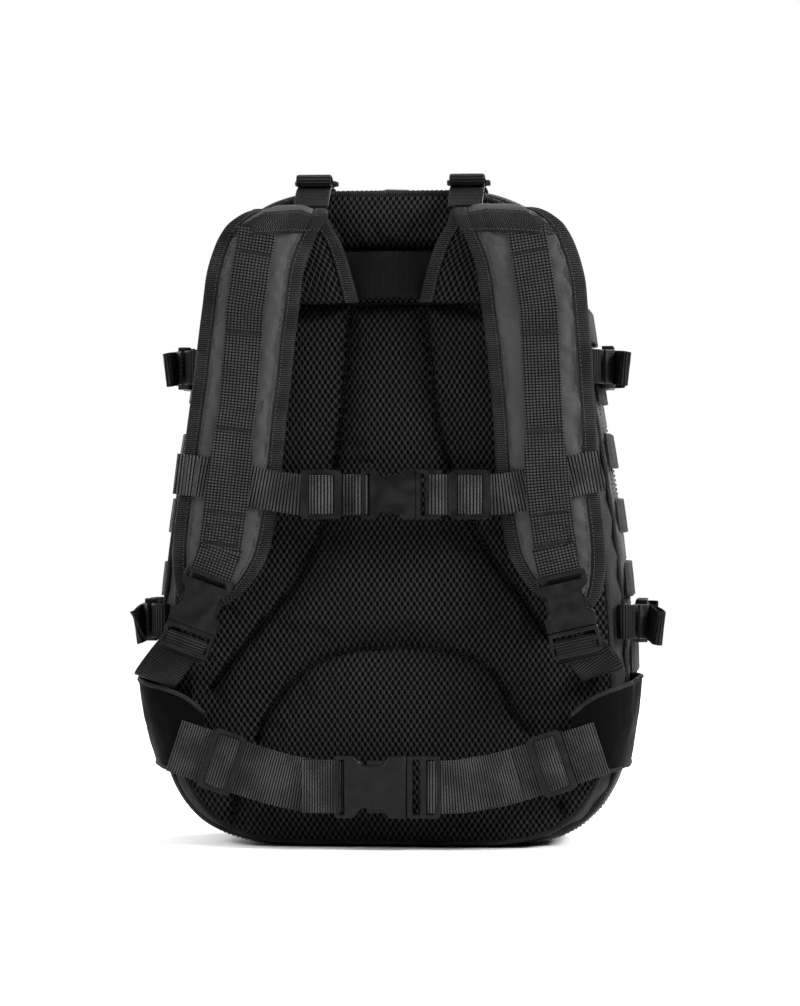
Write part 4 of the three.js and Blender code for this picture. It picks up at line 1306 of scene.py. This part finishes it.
def molle_rows(name, body, spec, face_y):
    """Webbing rows sewn across the lid with a bar tack at every channel."""
    low, half = spec[0], spec[2]
    form, tacks = Form(), Form()
    if name == "upper":
        loop_patch(body, spec, face_y, tacks)
    for z in LID_ROWS[name]:
        wide = half - LID_MARGIN[name] - max(0, (low + 26 - z)) * 0.4
        stops = np.linspace(-wide, wide, 7 if name == "lower" else 5)
        path = []
        for a, b in zip(stops[:-1], stops[1:]):
            for s in (0.0, 0.25, 0.5, 0.75):
                x = a + (b - a) * s
                lift = 0.9 + 1.3 * math.sin(math.pi * s)
                path.append((x, face_y + float(lid_height(spec, x, z)) + lift, z))
        path.append((stops[-1], face_y + float(lid_height(spec, stops[-1], z)) + 0.9, z))
        points, _, _ = ribbon(form, path, 25, Z_AXIS, step=2.5, wobble=0.3, seed=z)
        for x in stops:
            k = nearest(points, 0, x)
            x_at = points[k] + Y_AXIS * (WEB / 2 + 0.2)
            if k in (0, len(points) - 1):
                x_at = x_at + X_AXIS * (2 if k == 0 else -2)
            bartack(tacks, x_at, Z_AXIS, Y_AXIS, 23)
    piece(form, f"{name}_pouch_rows", body, "webbing", DARK_WEB)
    piece(tacks, f"{name}_pouch_tacks", body, "webbing", THREAD)


# ------------------------------------------------------------------ side ladders
LADDER_ROWS = (137, 192, 238, 285, 332, 375)


def side_ladder(name, side):
    """Rows of webbing on the bag's side, each bowed into loops between its bar tacks."""
    form, tacks = Form(), Form()
    for n, z in enumerate(LADDER_ROWS):
        skin = float(half_width(PACK, z)) + 0.4
        lean = float(half_width(PACK, z + 12) - half_width(PACK, z - 12)) / 24
        up = unit([side * lean, 0, 1])
        stops = np.linspace(22, 116, 4)
        path = []
        for a, b in zip(stops[:-1], stops[1:]):
            for s in (0.0, 0.2, 0.5, 0.8):
                bow = 3.4 * math.sin(math.pi * s) ** 0.8
                path.append((side * (skin + 1.1 + bow), a + (b - a) * s, z))
        path.append((side * (skin + 1.1), stops[-1], z))
        points, _, _ = ribbon(form, path, 25, up, step=2.0, wobble=0.4, seed=n + 20 * side)
        for y in stops:
            k = nearest(points, 1, y)
            at = points[k] + np.array([side * (WEB / 2 + 0.25), 0, 0])
            at = at + Y_AXIS * (2 if y == stops[0] else -2 if y == stops[-1] else 0)
            bartack(tacks, at, up, unit([side, 0, -lean]), 23)
    piece(form, f"side_rows_{name}", "pack", "webbing", DARK_WEB, replaces=f"side_ladder_{name}")
    piece(tacks, f"side_row_tacks_{name}", "pack", "webbing", THREAD)


# ------------------------------------------------------------------ handle and load lifters
def handle():
    """The grab handle, bowed out from its four bar tacks."""
    half = [(52, -15.0), (46, -15.6), (38, -15.8), (25, -17.6), (12, -21.6)]
    path = level_path([*half, (0, -23.2)], 410) + level_path(half[::-1], 410, -1)
    form = Form()
    points, _, _ = ribbon(form, path, 33, Z_AXIS, thick=2.0, step=2.0, wobble=0.25)
    piece(form, "handle_webbing", "pack", "webbing", HANDLE_WEB, replaces="grab_handle")
    tacks = Form()
    for x in (-44, -38, 38, 44):
        k = nearest(points, 0, x)
        bartack(tacks, points[k] - Y_AXIS * 1.2, Z_AXIS, -Y_AXIS, 30)
    piece(tacks, "handle_tacks", "pack", "webbing", DARK_THREAD)


def load_lifter(name, side):
    """Webbing over the bag's top edge and its loop through the cord lock."""
    x = side * 55
    form = Form()
    run = [
        (34, 472.6), (22, 473.6), (10, 473.8), (0, 473.6), (-8, 472.6), (-16, 469.5), (-24, 463.5),
        (-32, 458.0),
    ]
    points, _, _ = ribbon(form, [(x, y, z) for y, z in run], 25, X_AXIS, wobble=0.3, seed=3 + side)
    loop = [
        (12, 475.6), (6, 477.6), (0, 479.6), (-6, 481.2), (-11.5, 481.4), (-14.6, 479.2), (-13.6, 475.8),
        (-9, 474.4), (-2, 475.6),
    ]
    ribbon(form, [(x, y, z) for y, z in loop], 25, X_AXIS, step=1.5, seed=4)
    piece(form, f"load_lifter_{name}", "pack", "webbing", DARK_WEB, replaces=f"load_lifter_webbing_{name}")
    tacks = Form()
    for y in (30, 24):
        k = nearest(points, 1, y)
        bartack(tacks, points[k] + Z_AXIS, X_AXIS, Z_AXIS, 23)
    bartack(tacks, np.array([x, -10.0, 482.4]), X_AXIS, unit([0, -0.2, 1]), 22)
    piece(tacks, f"load_lifter_tacks_{name}", "pack", "webbing", THREAD)


# ------------------------------------------------------------------ sternum strap
STERNUM_Y = -35.2
STERNUM_Z = 253  # height of its buckle


def flat_path(points):
    return [(x, STERNUM_Y, z) for x, z in points]


def sternum_strap():
    """Webbing from each strap to the buckle, doubled where it passes through the buckle's bars."""
    left, right = Form(), Form()
    socket_end, plug_end = 20 - SOCKET * 29, 20 + PLUG * 29
    path = flat_path([
        (-152, 268), (-136, 266), (-120, 263), (-100, 259), (-84, 256), (-66, 253.4), (-40, 253),
        (socket_end - 0.5, 253),
    ])
    points, across, _ = ribbon(left, path, 29, Z_AXIS, wobble=0.2, seed=12)
    eye = [(-13, -34.4), (-4, -34.9), (3.2, -35.2), (5.2, -37.0), (2, -38.9), (-4.4, -38.6)]
    ribbon(left, eyed(eye, socket_end, STERNUM_Z), 28.6, Z_AXIS, step=1.5)
    replaced = "sternum_webbing_left"
    piece(left, "sternum_strap_webbing_left", "sternum_strap", "webbing", RIB_WEB, replaces=replaced)
    path = flat_path([
        (plug_end + 0.5, 253), (60, 253), (80, 253.3), (100, 257), (120, 263), (136, 267), (152, 270),
    ])
    ribbon(right, path, 29, Z_AXIS, wobble=0.2, seed=15)
    eye = [(11, -37.0), (2, -38.0), (-5.5, -39.2), (-9.2, -37.4), (-7.8, -35.0), (-2, -34.4), (8, -34.4)]
    ribbon(right, eyed(eye, plug_end, STERNUM_Z), 28.6, Z_AXIS, step=1.5)
    replaced = "sternum_webbing_right"
    piece(right, "sternum_strap_webbing_right", "sternum_strap_right", "webbing", RIB_WEB, replaces=replaced)
    tacks = Form()
    for k in (3, 6):
        bartack(tacks, points[k] - Y_AXIS * 1.0, across[k], -Y_AXIS, 26)
    piece(tacks, "sternum_tacks_left", "sternum_strap", "webbing", THREAD)
    for name, _ in SIDES:
        bridge(f"sternum_slide_webbing_{name}", f"sternum_slide_{name}", 0.0, 28, RIB_WEB)


def eyed(points, end, z):
    """A level path given from a buckle half's end: (x beyond it, y)."""
    return [(end + x, y, z) for x, y in points]


def bridge(name, node, slope, width, look):
    """The webbing's pass over a slide's middle bar. A slide's body has the same name as its node."""
    corners = np.array([v.co for v in frame["nodes"][node].data.vertices]) / MM
    corners[:, 1] -= WALL_Y / MM
    low, high = corners.min(0), corners.max(0)
    middle, front = (low + high) / 2, low[1]
    tilt = math.atan(slope)
    long = (high[0] - low[0] - 0.9 * width * abs(math.sin(tilt))) / math.cos(tilt)
    way = unit(np.array([1, 0, slope]))
    back = high[1] - 1.3
    half = [(-0.34, back), (-0.27, back - 1.2), (-0.2, front - 0.2), (-0.1, front - 1.2)]
    run = [*half, (0.0, front - 1.5), *((-t, y) for t, y in half[::-1])]
    form = Form()
    path = [middle * [1, 0, 1] + way * long * t + Y_AXIS * y for t, y in run]
    ribbon(form, path, width, np.array([-way[2], 0, way[0]]), step=1.2, thick=1.4)
    piece(form, name, node, "webbing", look)


# ------------------------------------------------------------------ waist belt
BELT_Y = -40.0
# Lower and upper edge of the right wing, from the bag's side to the belt.
WING = [
    ((-168.6, 21, 63), (-168.5, 22, 124)), ((-170.8, 12, 62), (-174, 12, 124)),
    ((-170, 0, 60), (-180, -2, 123)), ((-167, -14, 60), (-181, -14, 120)),
    ((-161, -25, 58), (-173, -25.5, 117)), ((-152, -32, 57), (-160, -32.6, 114)),
    ((-143, -36, 56), (-146, -36.2, 109)), ((-131, -36.4, 56), (-130.5, -36.4, 97)),
]


def hip_wing(name, side):
    """A coated cloth wing from the bag's side seam, folding round to the belt."""
    low, high = (evenly(spline(points, 2.0), 56) for points in zip(*WING))
    v = np.linspace(0, 1, 44)[:, None, None]
    middle = low[None] * (1 - v) + high[None] * v
    bow = np.sin(math.pi * v)[..., 0]
    out = unit(np.cross(np.gradient(middle, axis=1), np.gradient(middle, axis=0)))
    if out[20, 20, 0] > 0:
        out = -out
    folds = 1.6 * ripple(middle * [1, 1, 0.45], 20, 5 + side) + 0.6 * ripple(middle, 8, 9 + side)
    middle = middle + out * (bow * (folds + 1.5))[..., None]
    if side > 0:
        y = middle[..., 1]
        middle[..., 0] += 7.0 * v[..., 0] * np.clip(-y / 12, 0, 1) * np.clip((y + 36) / 10, 0, 1)
    middle[..., 0] *= -side
    out[..., 0] *= -side
    form = Form()
    uv = np.stack(np.meshgrid(along(middle[22]), along(middle[:, 20])), 2)
    two_sided(form, middle + out * 0.7, middle - out * 0.7, uv)
    body, wing = "waist_belt", f"hip_wing_{name}"
    bends = (0, 8 * MM + WALL_Y, 0), (0, -30 * MM + WALL_Y, 0)
    cloth_name = f"hip_wing_cloth_{name}"
    made = piece(form, cloth_name, body, "nylon", COATED, replaces=wing, welded=True, bends=bends)
    edges = Form()
    for row in (0, -1):
        tube(edges, middle[row], 1.7)
    piece(edges, f"hip_wing_binding_{name}", body, "webbing", BINDING, bends=bends)


def waist_belt():
    """Two lengths of wide webbing to the belt's buckle, doubled through its bars."""
    socket_end, plug_end, buckle_z = 14 - SOCKET * 38, 14 + PLUG * 38, 46
    left, right = Form(), Form()
    path = [
        (-152, BELT_Y, 74.5), (-120, BELT_Y, 64), (-92, BELT_Y, 55), (-66, BELT_Y, 48.3), (-50, BELT_Y, 46.2),
        (socket_end - 1, BELT_Y, buckle_z),
    ]
    ribbon(left, path, 38, Z_AXIS, wobble=1.6, seed=21)
    eye = [(-24, -38.8), (-8, -39.0), (3.4, -40.0), (5.0, -42.0), (1, -43.9), (-8, -43.2), (-24, -42.2)]
    ribbon(left, eyed(eye, socket_end, buckle_z), 37.6, Z_AXIS, step=1.5)
    replaced = "waist_webbing_left"
    piece(left, "waist_belt_webbing_left", "waist_belt", "webbing", SMOOTH_WEB, replaces=replaced)
    path = [
        (plug_end - 6, BELT_Y + 3.6, buckle_z), (plug_end + 14, BELT_Y + 2.6, 46.4), (62, BELT_Y + 1.6, 48.4),
        (84, BELT_Y + 0.4, 52.4), (92, BELT_Y, 55), (120, BELT_Y, 64), (152, BELT_Y, 74.5),
    ]
    ribbon(right, path, 38, Z_AXIS, wobble=1.6, seed=27)
    eye = [(0, -43.4), (-5.4, -44.4), (-9.6, -42.4), (-8.6, -39.0), (-4, -37.2)]
    tail = [(92, -42.2, 55.2), (70, -42.3, 49.4), (plug_end + 9, -42.6, 46.4), *eyed(eye, plug_end, buckle_z)]
    ribbon(right, tail, 37.6, Z_AXIS, step=2.0, wobble=0.5, seed=29)
    replaced = "waist_webbing_right"
    piece(right, "waist_belt_webbing_right", "waist_belt_right", "webbing", SMOOTH_WEB, replaces=replaced)
    for name, sign in SIDES:
        bridge(f"waist_slide_webbing_{name}", f"waist_slide_{name}", sign * 0.325, 37, SMOOTH_WEB)


# ------------------------------------------------------------------ lower strap webbing
LOWER_RUN = {
    "left": [
        (-142, -35.4, 151.5), (-150, -36.4, 142.5), (-158, -36, 133), (-165, -34, 124), (-168, -30, 120.4),
        (-168.2, -25, 120.2), (-165, -20, 125), (-160, -17, 132),
    ],
    "right": [
        (134, -35.4, 150), (140, -36.4, 143), (146, -36, 135.5), (150.5, -33.5, 129.5), (153, -30, 126.5),
        (153, -25, 126.8), (150, -20, 131), (146, -17, 136),
    ],
}


def lower_strap(name):
    """Webbing from the bag's corner up to the strap's buckle, and its loop over the buckle's bar."""
    mouth, down = buckle_line(name)
    across = unit(np.cross(down, Y_AXIS))
    form = Form()
    ribbon(form, LOWER_RUN[name], 30, across, step=1.5)
    body, replaced = f"{name}_strap", f"lower_webbing_{name}"
    bends = (0, 0, 118 * MM), (0, 0, 140 * MM)
    piece(form, f"lower_strap_webbing_{name}", body, "webbing", DARK_WEB, replaces=replaced, bends=bends)
    base = PLUG * 30
    half = base * 0.5
    loop = [
        (base + 2, 3.6), (base - 1, 3.9), (half + 1.5, 4.2), (half - 2.6, 1.0), (half - 1.6, -3.4),
        (half + 3, -4.6), (half + 9, -1.2), (base + 1, 1.9), (base + 4, 1.8),
    ]
    form = Form()
    ribbon(form, [mouth + down * d + Y_AXIS * y for d, y in loop], 29.5, across, step=1.5)
    piece(form, f"lower_strap_loop_{name}", f"{name}_strap_plug", "webbing", DARK_WEB)


# ------------------------------------------------------------------ compression straps
def compression(high, name, side, z):
    """A compression strap: two lengths of webbing to its buckle, the loose tail and the plug's loop."""
    face = float(half_width(PACK, z - 12.5)) + 0.7 + 3.4 + 0.4
    web = face + WEB / 2
    thick = 0.29 * 25 + 1
    buckle_x = face + WEB + 0.4 + 0.4 * thick
    mouth = 56
    end, base = mouth - SOCKET * 25, mouth + PLUG * 25
    middle = mouth + PLUG * 25 * 0.5
    form, plug = Form(), Form()
    run = [
        (web, 22), (web, 40), (web, 58), (web, 85), (web, 108), (web + 3.5, 114.4), (web + 8.5, 115),
        (web + 13, 109.5), (web + 14.4, 101),
    ]
    anchor = [
        (web + 0.2, 36), (web + 0.6, 20), (web + 1.0, 9), (web - 4.5, -1.0), (web - 9.5, -2.0),
        (web - 11.5, 4), (web - 8, 12),
    ]
    eye = [
        (web + 0.6, 12), (web + 2.0, end - 5), (buckle_x - 0.8, end + 3.0), (buckle_x + 1.8, end + 5.4),
        (buckle_x + 4.2, end + 2), (buckle_x + 4.0, end - 5), (web + 5.0, end - 13), (web + 3.2, end - 20),
    ]
    loop = [
        (web + 2.8, base + 10), (buckle_x - 1.5, base), (buckle_x - 2.5, middle + 2),
        (buckle_x, middle - 2.2), (buckle_x + 3.6, middle), (buckle_x + 3.0, base),
        (buckle_x + 2.8, base + 7),
    ]
    ribbon(form, level_path(run, z, side), 25, Z_AXIS, wobble=0.4, seed=41 + z + side)
    ribbon(form, level_path(anchor, z, side), 24.6, Z_AXIS, step=1.6, wobble=0.2, seed=44 + z)
    ribbon(form, level_path(eye, z, side), 24.6, Z_AXIS, step=1.5)
    ribbon(plug, level_path(loop, z, side), 24.6, Z_AXIS, step=1.5)
    # The tail: how far out of the buckle, how far back, and how far down as a share of its droop.
    droop = 2.0 if high == "upper" else 5.0
    reach = {("lower", -1): 0.3, ("upper", -1): 0.55}.get((high, side), 1.0)
    tail = [
        (0, end + 4, 0), (2.9, end - 2, 0.1), (7.4, end - 9, 0.4), (11.4, end - 16, 0.9),
        (11.8, end - 20, 1.0), (8.4, end - 20.5, 0.9), (4.4, end - 12, 0.5), (2.4, end - 5, 0.3),
    ]
    tail = [(side * (buckle_x + 3.6 + reach * x), y, z - droop * share) for x, y, share in tail]
    ribbon(form, tail, 24.4, Z_AXIS + side * 0.12 * X_AXIS, step=1.5)
    label = f"{high}_{name}"
    replaced = f"compression_webbing_{label}"
    piece(form, f"compression_strap_{label}", "pack", "webbing", DARK_WEB, replaces=replaced)
    piece(plug, f"compression_strap_loop_{label}", f"compression_plug_{label}", "webbing", DARK_WEB)


# ------------------------------------------------------------------ moulded and metal parts
def rounded_copy(node, body, material, width):
    """The CAD part with its edges rounded to `width` mm, as moulding leaves them."""
    data = frame["nodes"][node].data.copy()
    work = bmesh.new()
    work.from_mesh(data)
    bmesh.ops.remove_doubles(work, verts=work.verts, dist=0.00001)
    bmesh.ops.dissolve_limit(work, angle_limit=math.radians(2), verts=work.verts, edges=work.edges)
    inner = [e for e in work.edges if len(e.link_faces) == 2]
    sharp = [e for e in inner if e.calc_face_angle(0) > math.radians(28)]
    how = {"offset_type": "OFFSET", "segments": 3, "profile": 0.5, "affect": "EDGES", "clamp_overlap": True}
    rounding = set(bmesh.ops.bevel(work, geom=sharp, offset=width * MM, **how)["faces"])

    def level(edge):
        faces = edge.link_faces
        return len(faces) == 2 and (edge.calc_face_angle(0) < 0.02 or bool(set(faces) & rounding))

    for f in work.faces:
        f.smooth = f in rounding or not all(level(e) for e in f.edges)
    bmesh.ops.triangulate(work, faces=[f for f in work.faces if len(f.verts) > 4])
    work.to_mesh(data)
    work.free()
    data.materials.clear()
    data.materials.append(material)
    while data.uv_layers:
        data.uv_layers.remove(data.uv_layers[0])
    layer = data.uv_layers.new(name="weave")
    for loop in data.loops:
        co = data.vertices[loop.vertex_index].co
        layer.data[loop.index].uv = (co.x / MM, (co.y + co.z) / MM)
    made = bpy.data.objects.new(f"{node}_moulded", data)
    bpy.context.scene.collection.objects.link(made)
    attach(made, body)
    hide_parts(node)


def hardware():
    """Buckles, slides, cord locks, zip sliders and zip pulls."""
    bodies = frame["record"]["behaviour"]["bodies"]
    homes = {node: body for body, nodes in bodies.items() for node in nodes}
    for node, body in homes.items():
        if "slider" in node:
            rounded_copy(node, body, METAL, 0.35)
        elif any(word in node for word in ("socket", "plug", "slide", "lock")):
            small = "compression" in node or "lock" in node
            rounded_copy(node, body, PLASTIC, 0.75 if small else 0.9)
        elif "zip_pull" in node:
            rounded_copy(node, body, DARK_WEB, 0.5)


# ------------------------------------------------------------------ stage
FLOOR_HALF = 3.6  # metres
SEEN, LIT = 1.0, 0.08  # the world's strength to the camera, and as a light
# Name, place and size in metres, power in watts.
LAMPS = (
    ("key", (-2.0, -1.2, 1.7), 0.8, 46),
    ("fill", (2.1, -0.9, 1.5), 0.7, 112),
    ("rear", (1.3, 2.3, 1.7), 1.0, 90),
    ("rear_low", (-1.9, 1.6, 0.9), 0.8, 40),
)
SUN_POWER, SUN_ANGLE = 3.2, 120
CAMERA_TURN, CAMERA_AWAY = 5, 2.677  # degrees to the bag's left, and metres from it


def into_scene(name, data, at):
    """A lamp or camera in the scene, at a place in metres."""
    made = bpy.data.objects.new(name, data)
    made.location = at
    bpy.context.scene.collection.objects.link(made)
    return made


def stage():
    """The white floor, the world, the lamps and the camera."""
    floor = bpy.data.meshes.new("floor")
    corners = [(x * FLOOR_HALF, y * FLOOR_HALF, 0) for x, y in ((-1, -1), (1, -1), (1, 1), (-1, 1))]
    floor.from_pydata(corners, [], [(0, 1, 2, 3)])
    look = Look("floor_paint")
    shade = look.blend(look.noise(400, 2), (0.86, 0.86, 0.86), (0.9, 0.9, 0.9))
    floor.materials.append(look.done(shade, look.noise(3, 2), 0.05))
    look.bsdf.inputs["Roughness"].default_value = 0.85
    into_scene("floor", floor, (0, 0, 0))

    world = bpy.data.worlds.new("studio")
    world.use_nodes = True
    tree = world.node_tree
    seen, lit = (tree.nodes.new("ShaderNodeBackground") for _ in range(2))
    seen.inputs[1].default_value, lit.inputs[1].default_value = SEEN, LIT
    for sky in (seen, lit):
        sky.inputs[0].default_value = (1, 1, 1, 1)
    path, mix = tree.nodes.new("ShaderNodeLightPath"), tree.nodes.new("ShaderNodeMixShader")
    tree.links.new(path.outputs["Is Camera Ray"], mix.inputs[0])
    tree.links.new(lit.outputs[0], mix.inputs[1])
    tree.links.new(seen.outputs[0], mix.inputs[2])
    tree.links.new(mix.outputs[0], tree.nodes["World Output"].inputs[0])
    bpy.context.scene.world = world
    for name, at, size, power in LAMPS:
        light = bpy.data.lights.new(name, "AREA")
        light.energy, light.size = power, size
        lamp = into_scene(name, light, at)
        lamp.rotation_euler = (Vector((0, 0, 0.25)) - Vector(at)).to_track_quat("-Z", "Y").to_euler()
    light = bpy.data.lights.new("overhead", "SUN")
    light.energy, light.angle = SUN_POWER, math.radians(SUN_ANGLE)
    into_scene("overhead", light, (0, 0, 3))

    camera = bpy.data.cameras.new("camera")
    camera.lens, camera.sensor_width = 135, 36
    turn = math.radians(CAMERA_TURN)
    target = Vector((9 * MM, -35 * MM + WALL_Y, 247 * MM))
    away = Vector((math.sin(turn), -math.cos(turn), 0)) * CAMERA_AWAY
    view = into_scene("camera", camera, target + away)
    view.rotation_euler = (math.radians(90), 0, turn)
    bpy.context.scene.camera = view
    bpy.context.scene.view_settings.view_transform = "Standard"


back_panel()
main_bag()
front_section()
for label, hand in SIDES:
    shoulder_strap(label, hand)
    side_ladder(label, hand)
    load_lifter(label, hand)
    lower_strap(label)
    hip_wing(label, hand)
    compression("upper", label, hand, 345)
    compression("lower", label, hand, 162)
handle()
sternum_strap()
waist_belt()
hardware()
stage()
